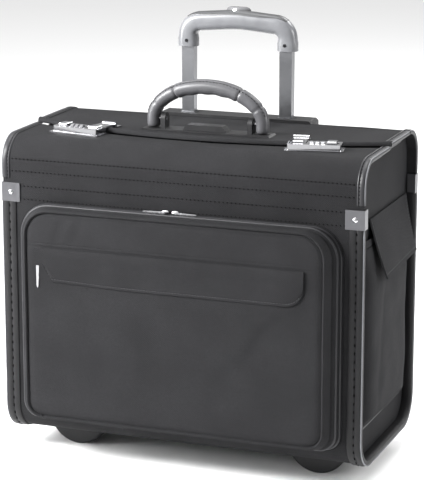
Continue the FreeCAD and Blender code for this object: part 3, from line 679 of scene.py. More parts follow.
rows = []
for x in across():
    nose = mouth(x) + 0.4
    ring = []
    for s in range(11):
        behind = roll_width * s / 10
        ring.append((nose + behind - 0.4, rear_top + lid_top_at(behind)))
    for s in range(1, 15):
        depth = nose + roll_width + (lid_back - nose - roll_width) * (s / 14) ** 1.3
        ring.append((depth, rear_top + ripple(x, depth, 0, 50, 0.5) - 0.1))
    ring += [(lid_back, rear_top - lid_board), (nose + 3, rear_top - lid_board)]
    ring += [(nose + 0.2, rear_top - lid_board + 0.6), (nose - 0.9, rear_top - 2.2),
             (nose - 0.9, rear_top - 1.0)]
    rows.append([point(x, depth, height) for depth, height in ring])
rear_lid = tube("rear_lid_nylon", rows, nylon, "rear_lid")
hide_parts("rear_lid")
path = [(point(x, mouth(x) + roll_width + 0.6, rear_top - 0.2), Vector((0, 0, 1)))
        for x in spread(-236, 236, 4)]
sew("rear_lid_roll_seam", path, thread_black_painted_shade, "rear_lid", pitch=3.6, length=2.4, thick=0.8)
print("rear lid", len(rear_lid.data.polygons), "faces")

# %% [markdown]
# ## Bands on the lid ends
# The raw ends of both lids and of the rear strip are closed with a narrow strip of leatherette, folded
# over the board and stitched. Its section is a closed ring carried along each end's outline. A second
# function makes round cords, which serve for the piping further on.

# %% Cords along an edge
def cord_tube(name, path, radius, finish, body, loop=False, sides=10):
    """A round cord along (point, outward) pairs in metres; radius in millimetres."""
    rows = []
    last = len(path) - 1
    for i, (here, out) in enumerate(path):
        before = path[i - 1][0] if i or loop else here
        after = path[(i + 1) % len(path)][0] if i < last or loop else here
        along = (after - before).normalized()
        side = along.cross(out).normalized()
        lift = side.cross(along).normalized()
        taper = 0.55 if not loop and i in (0, last) else 1.0
        rows.append([here + (side * math.cos(math.tau * k / sides) + lift * math.sin(math.tau * k / sides))
                     * radius * taper * MM for k in range(sides)])
    return tube(name, rows, finish, body, loop)


def edge_path(line, x, inset):
    """A flat line stood up at one place across, sunk by inset."""
    return [(point(x, u - out.x * inset, v - out.y * inset), Vector((0, out.x, out.y)))
            for (u, v), out in line]


# (in from the end, out from the board) round the section
band_ring = [(9.6, 0.1), (9.3, 0.9), (8.2, 1.3), (7.2, 0.9), (6.6, 0.4), (6.0, 0.9), (4.6, 1.4), (2.4, 1.5),
             (0.4, 1.1), (-0.7, 0.2), (-1.1, -1.0), (-1.1, -2.8), (-0.5, -4.1), (0.8, -4.6), (0.8, -0.1)]


def end_band(name, line, side, body):
    """A narrow folded strip along one end of a board, stitched close to its inner border."""
    rows = [[point(side * (half - a), u + out.x * b, v + out.y * b) for a, b in band_ring]
            for (u, v), out in line]
    tube(name, rows, piping_skin, body)
    path = edge_path(line, side * (half - 6.6), -0.7)
    sew(name + "_stitches", path, thread_black_painted_shade, body, pitch=4.6, length=2.8, thick=1.2)
    # The thin cord along the band's outer corner carries the painted highlight.
    cord = cord_tube(name + "_cord", edge_path(line, side * (half + 0.6), -0.4), 0.6, edge_cord_painted_highlight, body)


for side_name, side in (("left", -1), ("right", 1)):
    lid_line = joined(run((mouth_end - 3, front_top), (top_r, front_top), 8.0),
                      bend((top_r, front_top - top_r), top_r, 90, 180),
                      run((0, front_top - top_r), (0, fold + 1), 8.0))
    end_band("front_lid_end_band_" + side_name, lid_line, side, "front_lid")
    rear_line = run((lid_back - 1, rear_top), (mouth_end + 4, rear_top), 8.0)
    end_band("rear_lid_end_band_" + side_name, rear_line, side, "rear_lid")
    strip_line = joined(run((case_depth, bracket_high), (case_depth, rear_top - top_r), 8.0),
                        bend((case_depth - top_r, rear_top - top_r), top_r, 0, 90),
                        run((case_depth - top_r, rear_top), (strip_front + 0.5, rear_top), 2.0))
    end_band("rear_strip_end_band_" + side_name, strip_line, side, "case")
print("end bands on both sides, width", band_ring[0][0], "mm")

# %% [markdown]
# ## The edge binding
# Below the clips the board's ends are covered by a leatherette binding, folded over like a channel and
# stitched right through with a coarse thread. Its section is a closed ring that bulges on each face
# and is pinched at the seam, carried along the same line as the wrapper.

# %% Binding and its coarse stitches
binding_line = joined(
    run((0, bracket_low), (0, bottom_r), 8.0),
    bend((bottom_r, bottom_r), bottom_r, 180, 270),
    run((bottom_r, 0), (case_depth - bottom_r, 0), 8.0),
    bend((case_depth - bottom_r, bottom_r), bottom_r, 270, 360),
    run((case_depth, bottom_r), (case_depth, bracket_low), 8.0))
# (in from the edge, out from the board) round the section
binding_ring = [(18.0, 0.1), (17.6, 1.2), (15.5, 1.9), (12.0, 2.0), (10.0, 1.6), (9.0, 1.0), (8.0, 1.6),
                (6.0, 2.2), (3.0, 2.2), (0.6, 1.4), (-0.9, 0.0), (-1.3, -1.6), (-1.3, -3.6), (-0.9, -5.2),
                (0.6, -6.3), (4.0, -6.8), (9.0, -6.4), (11.4, -6.0), (11.4, -5.1), (0.1, -5.0), (0.1, -0.1)]
for side_name, side in (("left", -1), ("right", 1)):
    rows = []
    for (u, v), out in binding_line:
        rows.append([point(side * (half - a), u + out.x * (b + ripple(side * 99, u, v, 30, 0.25)),
                           v + out.y * b) for a, b in binding_ring])
    binding = tube("edge_binding_leatherette_" + side_name, rows, binding_skin, "case")
    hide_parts("edge_binding_" + side_name)
    cord_path = edge_path(binding_line, side * (half + 0.6), -0.9)
    # The cord along the binding's outer corner carries the painted highlight.
    cord = cord_tube("edge_binding_cord_" + side_name, cord_path, 0.9, edge_cord_painted_highlight, "case")
    path = edge_path(binding_line, side * (half - 9), -1.35)
    sew("edge_binding_stitches_" + side_name, path, thread_black_painted_shade, "case", 10.7, 5.0, 1.9)
binding_length = sum((b[0] - a[0]).length for a, b in zip(binding_line, binding_line[1:]))
print("binding length", round(binding_length), "mm")

# %% [markdown]
# ## The welt and zip of the front compartment
# The compartment is held on by a zip that runs right round it. The fixed half is sewn to the case
# under a corded welt. From outside in, there is a stitched flange, a cord, a strip of zip tape and the
# zip's coil. All of them follow the same rounded outline at different distances from it.

# %% Welt, tape and coil
pocket_low, pocket_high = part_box("pocket_welt")
welt_side = pocket_high.x / MM
welt_low = (pocket_low.z - underside) / MM
welt_high = (pocket_high.z - underside) / MM
upper_r, lower_r = 42.0, 22.0


def outline(shrink):
    """The welt's outline moved in by shrink."""
    return round_box(welt_side - shrink, welt_low + shrink, welt_high - shrink, lower_r - shrink,
                     upper_r - shrink)


def front_path(line, proud, lift=0.0):
    """A closed flat line stood up in front of the case; proud is the distance in front of the board."""
    return [(point(u + out.x * lift, -proud, v + out.y * lift),
             Vector((out.x, -1.0, out.y)).normalized()) for (u, v), out in line]


def ring_rows(line, section):
    """Rows of a closed band: section lists (outward, proud) pairs in millimetres."""
    return [[point(u + out.x * a, -b, v + out.y * a) for a, b in section] for (u, v), out in line]


flange_section = [(0.6, 0.1), (0.5, 0.7), (-2, 1.0), (-6.8, 0.9), (-6.9, 0.1)]
flange = tube("welt_flange_nylon", ring_rows(outline(0.0), flange_section), nylon, "case", loop=True)
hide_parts("pocket_welt")
cord_tube("welt_cord", front_path(outline(3.4), 2.6), 2.3, piping_skin, "case", True)
welt_seam = sew("welt_seam", front_path(outline(-0.2), 0.6), thread_black_painted_shade, "case", 3.6, 2.4, 0.8, True)
tape_section = [(1.6, 0.3), (1.6, 1.1), (-1.2, 1.2), (-1.2, 0.3)]
zip_tape = tube("zip_tape_fixed", ring_rows(outline(7.0), tape_section), tape, "case", loop=True)
coil = sew("zip_coil", front_path(outline(7.4), 1.6), thread_black_painted_shade, "case", 2.2, 1.7, 1.5, True)
print("welt", round(2 * welt_side), "x", round(welt_high - welt_low), "mm")

# %% [markdown]
# ## The front compartment
# The compartment is a soft box: a gusset that leans in, with a cord and a groove for its zip, a
# stuffed roll round its face, and a face panel sewn in behind the roll. The gusset is made as rings,
# each a little nearer the face. The panel is a grid of its own, and cloth physics blows it out a
# little between its sewn edges, because a pinned cloth with some spare width makes truer puckers than
# any formula.

# %% Gusset and roll
pocket_low, pocket_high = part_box("front_pocket_shell")
face_proud = (front_face - pocket_low.y) / MM
base_side, face_side = 214.0, 198.0
base_low, face_low = 27.0, 34.0
base_high, face_high = 309.0, 304.0


def pocket_outline(t, grow):
    """Outline of the compartment between its base (t = 0) and its face (t = 1), moved out by grow."""
    side = base_side + t * (face_side - base_side) + grow
    low = base_low + t * (face_low - base_low) - grow
    high = base_high + t * (face_high - base_high) + grow
    return round_box(side, low, high, 20 + grow, 40 - 8 * t + grow, (64, 40))


# (share of the way to the face, out, proud) from the zip to the tuck behind the panel
gusset = [(0.02, -0.6, 2.6), (0.04, 0.2, 3.6), (0.12, 0.8, 6.0), (0.25, 1.3, 9.0), (0.38, 1.2, 12.0),
          (0.45, -0.6, 13.4), (0.50, -2.4, 14.4), (0.55, -0.6, 15.4), (0.63, 1.6, 17.2), (0.8, 2.5, 21.0),
          (0.92, 2.8, 24.0), (1.0, 2.8, 26.2), (1.0, 2.0, 27.6), (1.0, 0.8, 28.0), (1.0, -0.4, 27.3),
          (1.0, -1.4, 25.4), (1.0, -1.9, 23.2), (1.0, -4.6, 22.0)]
outer, inner = [], []
for share, grow, proud in gusset:
    line = pocket_outline(share, grow)
    line = line + line[:1]
    wave = [ripple(u, 0, v, 26, 0.5) if 5 < proud < 26 else 0.0 for (u, v), out in line]
    outer.append([point(u + out.x * w, -proud, v + out.y * w) for ((u, v), out), w in zip(line, wave)])
    inner.append([point(u - out.x * 1.5, -min(proud, face_proud - 2) + 0.1, v - out.y * 1.5)
                  for (u, v), out in line])
pocket_gusset = sheet("front_pocket_gusset", outer, inner, nylon, "front_pocket")
gusset_cord = cord_tube("front_pocket_cord", front_path(pocket_outline(0.3, 0.7), 9.8), 1.9, piping_skin,
                        "front_pocket", True)
print("gusset", len(pocket_gusset.data.polygons), "faces")

# %% Face panel with cloth physics
flap_low, flap_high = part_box("slip_pocket_flap")
flap_top = (flap_high.z - underside) / MM
flap_bottom = (flap_low.z - underside) / MM


def blown(rows, push, slack, cap, steps=20):
    """The grid after a cloth with some spare width is pushed out between its pinned borders."""
    n, m = len(rows), len(rows[0])
    mesh = bpy.data.meshes.new("cloth_trial")
    cells = [(i * m + j, (i + 1) * m + j, (i + 1) * m + j + 1, i * m + j + 1)
             for i in range(n - 1) for j in range(m - 1)]
    mesh.from_pydata([p for row in rows for p in row], [], cells)
    trial = bpy.data.objects.new("cloth_trial", mesh)
    scene = bpy.context.scene
    scene.collection.objects.link(trial)
    border = trial.vertex_groups.new(name="sewn")
    edge = [i * m + j for i in range(n) for j in range(m) if i in (0, n - 1) or j in (0, m - 1)]
    border.add(edge, 1.0, "REPLACE")
    settings = trial.modifiers.new("cloth", "CLOTH").settings
    settings.vertex_group_mass = "sewn"
    settings.quality = 6
    settings.mass = 0.3
    settings.tension_stiffness = settings.compression_stiffness = 12
    settings.bending_stiffness = 1.5
    settings.shrink_min = -slack
    earth = scene.gravity.copy()
    scene.gravity = push
    for step in range(1, steps + 1):
        scene.frame_set(step)
    settled = trial.evaluated_get(bpy.context.evaluated_depsgraph_get()).data
    places = []
    for i, vert in enumerate(settled.vertices):
        start = mesh.vertices[i].co
        move = vert.co - start
        places.append(start + move * min(1.0, cap * MM / max(move.length, 1e-9)))
    bpy.data.objects.remove(trial)
    scene.gravity = earth
    scene.frame_set(1)
    return [places[i * m:(i + 1) * m] for i in range(n)]


panel_seams = (flap_top + 5.5, flap_top + 1.5)
# soft folds in the panel: middle across and up, lean in degrees, half length, half width, depth
folds = [(-150, 285, 68, 26, 5, 1.3), (-128, 282, 66, 24, 5, 1.1), (-60, 284, 60, 20, 7, 0.6),
         (30, 283, 75, 18, 8, 0.5), (150, 190, 40, 60, 9, 0.8), (120, 170, 52, 55, 10, 0.6),
         (-40, 120, 80, 80, 14, 0.5), (60, 100, 75, 70, 16, 0.5), (-150, 110, 95, 60, 12, 0.5)]


def folded(x, height):
    """How far the panel's folds sink it at a place."""
    total = 0.0
    for across_at, up_at, lean, reach, width, depth in folds:
        turn = math.radians(lean)
        dx, dz = x - across_at, height - up_at
        along = dx * math.cos(turn) + dz * math.sin(turn)
        beside = dz * math.cos(turn) - dx * math.sin(turn)
        total += depth * math.exp(-(along / reach) ** 4 - (beside / width) ** 2)
    return total


panel_low, panel_high, panel_side, panel_r = face_low + 0.4, face_high - 0.4, face_side - 0.6, 31.0
rows = []
for height in spread(panel_low, panel_high, 6.0, panel_seams):
    cut = 0.0
    for end, way in ((panel_low, 1), (panel_high, -1)):
        corner = 19.0 if way > 0 else panel_r
        short = corner - abs(height - end)
        if short > 0:
            cut = max(cut, corner - math.sqrt(max(0.0, corner ** 2 - short ** 2)))
    side = panel_side - cut
    count = 64
    row = []
    for i in range(count + 1):
        x = -side + 2 * side * i / count
        rise = (1 - abs(x / (side + 0.01)) ** 10) * (1 - abs(2 * (height - 169) / 272) ** 10)
        row.append(point(x, -24.6 - 1.6 * max(0.0, rise) ** 0.6, height))
    rows.append(row)
rows = blown(rows, Vector((0, -30, -3)), 0.012, 2.2)
outer = []
for row in rows:
    shaped = []
    for place in row:
        x, height = place.x / MM, (place.z - underside) / MM
        pull = sum(0.35 * math.exp(-((height - seam) / 1.2) ** 2) for seam in panel_seams)
        sink = folded(x, height) + pull + ripple(x, 3, height, 70, 0.6)
        front = min(front_face - place.y, 27.2 * MM) - sink * MM
        shaped.append(Vector((place.x, front_face - front, place.z)))
    outer.append(shaped)
inner = [[p + Vector((0, cloth * MM, 0)) for p in row] for row in outer]
panel = sheet("front_pocket_panel", outer, inner, nylon, "front_pocket")
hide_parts("front_pocket_shell")
for number, seam in enumerate(panel_seams):
    path = level_path(Vector((0, -1, 0)), 8 - face_side, face_side - 8, lambda x: point(x, -25.9, seam))
    sew("panel_seam_" + str(number + 1), path, thread_black_painted_shade, "front_pocket", 3.8, 2.5, 0.8)
print("panel", len(panel.data.polygons), "faces")

# %% [markdown]
# ## The slip pocket's flap and pull
# A storm flap covers the slip pocket's own zip. It is two layers of nylon turned and edge-stitched,
# with a round lower corner on one side and a slanted end beside the zip pull on the other. Each row of
# the loft is one vertical section, a thin ring that is fat along the turned edge.

# %% Flap
flap_left, flap_right = flap_low.x / MM, flap_high.x / MM
flap_round = 25.0
slant_width, slant_drop = 16.0, 27.0


def flap_edge(x):
    """Height of the flap's lower edge at a place across."""
    if x < flap_left + slant_width:
        return flap_bottom + 3 + slant_drop * (flap_left + slant_width - x) / slant_width * 0.9
    if x > flap_right - flap_round:
        short = x - (flap_right - flap_round)
        return flap_bottom + flap_round - math.sqrt(max(0.0, flap_round ** 2 - short ** 2))
    return flap_bottom + 3 * max(0.0, 1 - (x - flap_left - slant_width) / 90)


flap_near = (front_face - flap_high.y) / MM
rows = []
ends = [flap_right - flap_round * (1 - math.sin(math.radians(a))) for a in range(0, 90, 9)]
straight = spread(flap_left + 0.1, flap_right - flap_round, 7.0)
places = sorted({*straight, *ends, flap_left + slant_width})
for x in places:
    low = flap_edge(x)
    ring = []
    for share in (0.0, 0.12, 0.3, 0.5, 0.7, 0.85):
        height = flap_top - (flap_top - low) * share
        puff = 1.9 + 0.9 * math.sin(math.pi * share) + ripple(x, 0, height, 35, 0.35)
        ring.append((height, flap_near + puff))
    ring += [(low + 4.6, flap_near + 2.0), (low + 3.6, flap_near + 1.5), (low + 2.4, flap_near + 2.1),
             (low + 0.8, flap_near + 2.0), (low, flap_near + 1.1), (low + 0.6, flap_near + 0.1),
             (flap_top - 1, flap_near + 0.1)]
    rows.append([point(x, -proud, height) for height, proud in ring])
flap = tube("slip_flap_nylon", rows, nylon, "slip_flap")
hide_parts("slip_pocket_flap")
path = [(point(x, -flap_near - 1.8, flap_edge(x) + 3.6), Vector((0, -1, 0)))
        for x in places if flap_left + 3 < x < flap_right - 3]
sew("slip_flap_edge_stitches", path, thread_grey, "slip_flap", 3.8, 2.5, 0.75)
print("flap", round(flap_right - flap_left), "mm long")

# %% [markdown]
# ## Zip pulls
# Each pull is a long tapered tab stamped from zinc, hung from a slider with a bright arched bridge.
# The same tab, stood upright and plated brighter, is the slip pocket's pull. A tab is a short loft: one
# rounded section, narrowed along the way and closed quickly at the tip.

# %% Tabs, sliders and bridges
# (share of the half width, share of the half thickness) round a tab
tab_section = ((-1, 0), (-0.8, 0.9), (0, 1), (0.8, 0.9), (1, 0), (0.8, -0.9), (0, -1), (-0.8, -0.9))


def tab(name, root, tip, wide, thin, face, finish, body):
    """A tapered tab between two points with rounded long edges; face is the way it looks."""
    along = tip - root
    side = along.cross(face).normalized()
    rows = []
    for share in [i / 10 for i in range(11)]:
        w = wide * (1 - 0.3 * share) * (1 if share < 0.9 else math.sqrt(1 - ((share - 0.9) / 0.11) ** 2))
        centre = root + along * share
        rows.append([centre + side * (a * w / 2 * MM) + face * (b * thin / 2 * MM) for a, b in tab_section])
    return tube(name, rows, finish, body, crease=50)


out_front = Vector((0, -1, 0))
slider_turns = [math.tau * k / 12 for k in range(12)]
for side_name, side in (("left", -1), ("right", 1)):
    low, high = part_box("zip_pull_" + side_name)
    middle = (low + high) / 2
    reach = Vector((side * (high.x - low.x) / 2, 0, 0))
    pull = tab("zip_tab_" + side_name, middle - reach, middle + reach, 3.0, 1.2, out_front, zip_metal,
               "zip_pull_" + side_name)
    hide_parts("zip_pull_" + side_name)
    low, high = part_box("zip_slider_" + side_name)
    middle = (low + high) / 2
    size = high - low
    rows = []
    for share, fat in ((-0.5, 0.55), (-0.4, 0.85), (-0.15, 1.0), (0.15, 0.95), (0.4, 0.8), (0.5, 0.5)):
        centre = middle + Vector((share * size.x, 0.1 * size.y, 0))
        deep, tall = size.y * 0.36 * fat, size.z * 0.5 * fat
        rows.append([centre + Vector((0, -math.cos(a) * deep, math.sin(a) * tall)) for a in slider_turns])
    slider = tube("zip_slider_body_" + side_name, rows, zip_metal, "zip_slider_" + side_name)
    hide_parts("zip_slider_" + side_name)
    arch = [(middle + Vector((math.cos(a) * 3.4 * MM, -size.y * 0.2 - math.sin(a) * 1.8 * MM, 0)),
             Vector((math.cos(a), -math.sin(a), 0))) for a in [math.pi * k / 10 for k in range(11)]]
    bridge = cord_tube("zip_bridge_" + side_name, arch, 0.9, chrome, "zip_slider_" + side_name, sides=8)
low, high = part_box("slip_zip_pull")
middle_x, middle_y = (low.x + high.x) / 2, (low.y + high.y) / 2
root, tip = Vector((middle_x, middle_y, high.z)), Vector((middle_x, middle_y, low.z))
pull = tab("slip_zip_tab", root, tip, 4.2, 1.2, out_front, chrome, "slip_pull")
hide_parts("slip_zip_pull")
print("zip tabs: 3")

# %% [markdown]
# ## Side pockets and their flaps
# A patch pocket with a folded gusset stands out from each end, and a stiffened flap leans over
# its open mouth. The pocket is a grid over the end panel: it rises steeply at its sides and foot,
# stays nearly flat, and narrows towards the mouth. The flap is a thin leaning plate with turned and
# stitched edges.

# %% Pockets
panel_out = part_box("end_panel_right")[1].x / MM
side_low, side_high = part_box("side_pocket_right")
pocket_front = (side_low.y - front_face) / MM
pocket_back = (side_high.y - front_face) / MM
pocket_foot = (side_low.z - underside) / MM
pocket_mouth = (side_high.z - underside) / MM
pocket_bulge = side_high.x / MM - panel_out


def pocket_out(depth, height):
    """How far a side pocket stands out from the end panel at a place."""
    middle = (pocket_front + pocket_back) / 2
    across_share = abs(depth - middle) / ((pocket_back - pocket_front) / 2)
    up = height - pocket_foot
    foot = min(1.0, up / 14) ** 0.6
    mouth_share = max(0.0, (height - 225) / (pocket_mouth - 225))
    body_out = pocket_bulge * foot * (1 - 0.72 * mouth_share ** 1.1)
    return body_out * (1 - across_share ** 14) * (0.9 + 0.1 * (1 - across_share ** 2))


for side_name, side in (("left", -1), ("right", 1)):
    outer, inner = [], []
    depths = [pocket_front + s for s in (0, 0.6, 1.6, 3, 5, 8)]
    depths += spread(pocket_front + 12, pocket_back - 12, 7.0)
    depths += [pocket_back - s for s in (8, 5, 3, 1.6, 0.6, 0)]
    heights = [pocket_foot + s for s in (0, 1.5, 3.5, 6, 9, 14)]
    heights += spread(pocket_foot + 20, pocket_mouth, 7.0, [pocket_mouth - 9])
    for depth in depths:
        row_out, row_in = [], []
        for height in heights:
            proud = pocket_out(depth, height)
            hem = 0.7 * math.exp(-((height - pocket_mouth + 9) / 1.2) ** 2)
            soft = ripple(side * 50, depth, height, 32, 1.4) * min(1.0, proud / 8)
            crease = 1.0 * math.exp(-((depth - 60 - 0.12 * height) / 7) ** 2) * min(1.0, proud / 8)
            x = panel_out + max(0.3, proud - hem + soft - crease)
            row_out.append(point(side * x, depth, height))
            row_in.append(point(side * max(panel_out + 0.1, x - 1.6), depth, height))
        outer.append(row_out)
        inner.append(row_in)
    pocket = sheet("side_pocket_nylon_" + side_name, outer, inner, nylon, "case")
    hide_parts("side_pocket_" + side_name)
    path = [(point(side * (panel_out + pocket_out(d, pocket_mouth - 9) - 0.3), d, pocket_mouth - 9),
             Vector((side, 0, 0))) for d in spread(pocket_front + 6, pocket_back - 6, 6.0)]
    sew("side_pocket_hem_" + side_name, path, thread_black_painted_shade, "case", 4.0, 2.6, 0.8)
    border = joined(run((pocket_front - 1.0, pocket_mouth - 4), (pocket_front - 1.0, pocket_foot + 12), 8.0),
                    bend((pocket_front + 11.0, pocket_foot + 11), 12, 180, 270),
                    run((pocket_front + 11, pocket_foot - 1), (pocket_back - 11, pocket_foot - 1), 8.0),
                    bend((pocket_back - 11.0, pocket_foot + 11), 12, 270, 360),
                    run((pocket_back + 1.0, pocket_foot + 12), (pocket_back + 1.0, pocket_mouth - 4), 8.0))
    path = [(point(side * (panel_out + 1.2), u, v), Vector((side, 0, 0))) for (u, v), out in border]
    cord_tube("side_pocket_piping_" + side_name, path, 1.7, piping_skin, "case")
print("side pockets stand", round(pocket_bulge), "mm proud")

# %% Flaps
side_flap_low, side_flap_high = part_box("side_flap_right")
lean = (side_flap_high.x - side_flap_low.x) / MM - 2.4
flap_foot = (side_flap_low.z - underside) / MM
flap_head = (side_flap_high.z - underside) / MM
flap_y0 = (side_flap_low.y - front_face) / MM
flap_y1 = (side_flap_high.y - front_face) / MM
flap_root = side_flap_low.x / MM
rear_lean = 16.0


def side_flap_point(side, share, depth, lift):
    """A place on a leaning flap: share runs from its sewn top to its lower edge."""
    droop = 1.2 * math.sin(math.pi * share)
    height = flap_head + (flap_foot - flap_head) * share
    lean_here = lean + (rear_lean - lean) * (depth - flap_y0) / (flap_y1 - flap_y0)
    return point(side * (flap_root + lean_here * share - droop + lift), depth, height)


for side_name, side in (("left", -1), ("right", 1)):
    rows = []
    depths = [flap_y0 + s for s in (0, 0.5, 1.5, 3, 4.5, 6)]
    depths += spread(flap_y0 + 10, flap_y1 - 10, 8.0)
    depths += [flap_y1 - s for s in (6, 4.5, 3, 1.5, 0.5, 0)]
    for depth in depths:
        edge = min(depth - flap_y0, flap_y1 - depth)
        turned = math.sqrt(min(1.0, edge / 1.5 + 0.05))
        pinch = 0.6 * math.exp(-((edge - 4.5) / 1.2) ** 2)
        shares = (0.0, 0.15, 0.35, 0.55, 0.75, 0.9, 0.935, 0.955, 0.985, 1.0)
        front = []
        for share in shares:
            hem = 0.7 * math.exp(-((share - 0.935) / 0.014) ** 2)
            puff = 2.3 * turned - pinch - hem + ripple(side * 60, depth, 70 * share, 30, 0.5)
            front.append(side_flap_point(side, share, depth, max(0.5, puff)))
        back = [side_flap_point(side, share, depth, 0.3) for share in reversed(shares[:-1])]
        rows.append(front + [side_flap_point(side, 1.0, depth, 0.8)] + back)
    side_flap = tube("side_flap_nylon_" + side_name, rows, nylon, "side_flap_" + side_name)
    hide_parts("side_flap_" + side_name)
    along_edge = [side_flap_point(side, s, flap_y0 + 4.5, 1.9) for s in spread(0.05, 0.935, 0.1)]
    along_edge += [side_flap_point(side, 0.935, d, 1.8) for d in spread(flap_y0 + 8, flap_y1 - 8, 6.0)]
    along_edge += [side_flap_point(side, s, flap_y1 - 4.5, 1.9) for s in spread(0.935, 0.05, 0.1)]
    path = [(p, Vector((side, 0, 0.3)).normalized()) for p in along_edge]
    body = "side_flap_" + side_name
    sew("side_flap_stitches_" + side_name, path, thread_grey, body, 4.0, 2.6, 0.8)
print("side flaps lean", round(lean), "mm")

# %% [markdown]
# ## Edge tape of the end panels
# The inset ends are boards too, and their upper edges, just under the lids, are bound with a narrow
# strip. It follows the board's own top line: up the front, round the corner, back under the
# front lid and on under the rear one.

# %% Tape along the end panels' tops
panel_roof = front_top - lid_board - 1.0
rear_roof = rear_top - 6.0
tape_r = 29.0
tape_ring = ((0.1, 0.3), (0.9, 0.6), (1.3, 3.0), (1.2, 7.0), (0.6, 8.6), (0.1, 8.8))
tape_line = joined(run((strip_front - 0.5, rear_roof), (mouth_end + 14, rear_roof), 8.0),
                   run((mouth_end + 14, rear_roof), (mouth_end, panel_roof), 8.0),
                   run((mouth_end, panel_roof), (top_r + 1, panel_roof), 8.0),
                   bend((top_r + 1, panel_roof - tape_r), tape_r, 90, 180),
                   run((6, panel_roof - tape_r), (6, fold + 3), 8.0))
for side_name, side in (("left", -1), ("right", 1)):
    rows = [[point(side * (panel_out + a), u - out.x * b, v - out.y * b) for a, b in tape_ring]
            for (u, v), out in tape_line]
    tube("end_panel_edge_tape_" + side_name, rows, piping_skin, "case")
print("edge tape along", len(tape_line), "stations")

# %% [markdown]
# ## The carry handle
# The handle is a steel core in foam, wrapped with leatherette that is sewn along its outer edge and
# gathered at two seams on each side, one where the grip ends and one on the leg. It is a tube along
# half an ellipse, fuller in the middle, with shallow finger rolls underneath and a neck at each seam.

# %% Padded bow
pin_low, pin_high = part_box("handle_pivot_pins")
pivot = (pin_low + pin_high) / 2
handle_low, handle_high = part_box("carry_handle")
bow_r = (handle_high.y - handle_low.y) / 2 / MM
bow_half = handle_high.x / MM - bow_r
bow_rise = (handle_high.z - pivot.z) / MM - bow_r
wrap_seam = 43.0
leg_seam = 67.0
finger_pitch = 21.0


def bow_place(angle):
    """Middle of the bow, its outward direction and its fatness at an angle of the ellipse."""
    x, up = bow_half * math.cos(angle), bow_rise * math.sin(angle)
    out = Vector((bow_rise * math.cos(angle), 0, bow_half * math.sin(angle))).normalized()
    centre = pivot + Vector((x, 0, up)) * MM
    fat = 0.9 + 0.1 * math.sin(angle)
    for seam in (wrap_seam, leg_seam):
        fat -= 0.13 * math.exp(-((abs(x) - seam) / 0.9) ** 2)
    if abs(x) < wrap_seam:
        fat += 0.03
    return centre, out, fat, x


def bow_ring(centre, out, fat, x, sides=24):
    ring = []
    for k in range(sides):
        turn = math.tau * k / sides
        inward = max(0.0, -math.sin(turn))
        finger = 0.045 * inward * math.cos(x * math.tau / finger_pitch) if abs(x) < wrap_seam - 3 else 0.0
        radius = bow_r * (fat + finger - 0.06 * abs(math.sin(turn)) ** 3)
        ring.append(centre + (out * math.sin(turn) + Vector((0, 1, 0)) * math.cos(turn)) * radius * MM)
    return ring


angles = [math.pi * i / 96 for i in range(97)]
# (drop below the pivot, share of full fatness) down each leg
leg_end = ((3.0, 1.0), (6.5, 1.0), (9.0, 0.97), (10.4, 0.85), (11.2, 0.5))
rows = [bow_ring(pivot + Vector((bow_half, 0, -drop)) * MM, Vector((1, 0, 0)), 0.9 * fat, bow_half)
        for drop, fat in reversed(leg_end)]
rows += [bow_ring(*bow_place(a)) for a in angles]
rows += [bow_ring(pivot + Vector((-bow_half, 0, -drop)) * MM, Vector((-1, 0, 0)), 0.9 * fat, bow_half)
         for drop, fat in leg_end]
bow = tube("carry_handle_padded_bow", rows, handle_skin, "carry_handle", crease=60)
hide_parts("carry_handle")
seam_path = []
for a in angles[6:-6]:
    centre, out, fat, x = bow_place(a)
    way = (out * 0.82 + Vector((0, -0.57, 0))).normalized()
    seam_path.append((centre + way * (bow_r * fat - 0.5) * MM, way))
cord_tube("carry_handle_edge_piping", seam_path, 0.9, handle_skin, "carry_handle", sides=8)
low_path = []
for place, way in seam_path:
    lower = (way + Vector((0, -0.35, 0))).normalized()
    low_path.append((place - way * 0.6 * MM + Vector((0, -2.2, 0)) * MM + lower * 0.2 * MM, lower))
sew("carry_handle_stitches", low_path, thread_black_painted_shade, "carry_handle", 4.6, 3.0, 0.8)
print("handle", round(2 * (bow_half + bow_r)), "mm wide,", round(bow_rise + bow_r), "mm high")

# %% [markdown]
# ## Lock dials
# Each number wheel is die-cast with ten flats and a fine groove between them, so the light breaks
# into bright bars. It is a ring of ten lobes, drawn in at its two rims.

# %% Number wheels
for side_name in ("left", "right"):
    for number in (1, 2, 3):
        wheel = side_name + "_" + str(number)
        node_name = "lock_dial_" + wheel
        joint = [j for j in frame["joints"] if j["name"] == "dial_" + wheel + "_turn"][0]
        axis = Vector(joint["axis"]).normalized()
        low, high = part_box(node_name)
        centre = (low + high) / 2
        radius = (high.z - low.z) / 2
        up = Vector((0, 0, 1))
        sideways = axis.cross(up)
        rows = []
        for along, rim in ((-2.5, 0.84), (-2.1, 0.97), (-0.9, 1.0), (0.9, 1.0), (2.1, 0.97), (2.5, 0.84)):
            ring = []
            for k in range(40):
                turn = math.tau * k / 40
                lobe = rim * radius * (1 - (0.07 if k % 4 == 0 else 0.0))
                outward = up * math.cos(turn) + sideways * math.sin(turn)
                ring.append(centre + axis * along * MM + outward * lobe)
            rows.append(ring)
        dial = tube("number_wheel_" + wheel, rows, chrome, "dial_" + wheel, crease=20)
        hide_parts(node_name)
print("number wheels: 6")

# %% [markdown]
# ## The trolley grip
# The grip is moulded in two halves: a grey arch that clamps the tubes and a darker soft panel let
# into its crown. The arch is a tube with a rounded-square section along an up-across-down line, and
# the panel repeats the same surface a little higher, inside a seam that curves down in the middle.

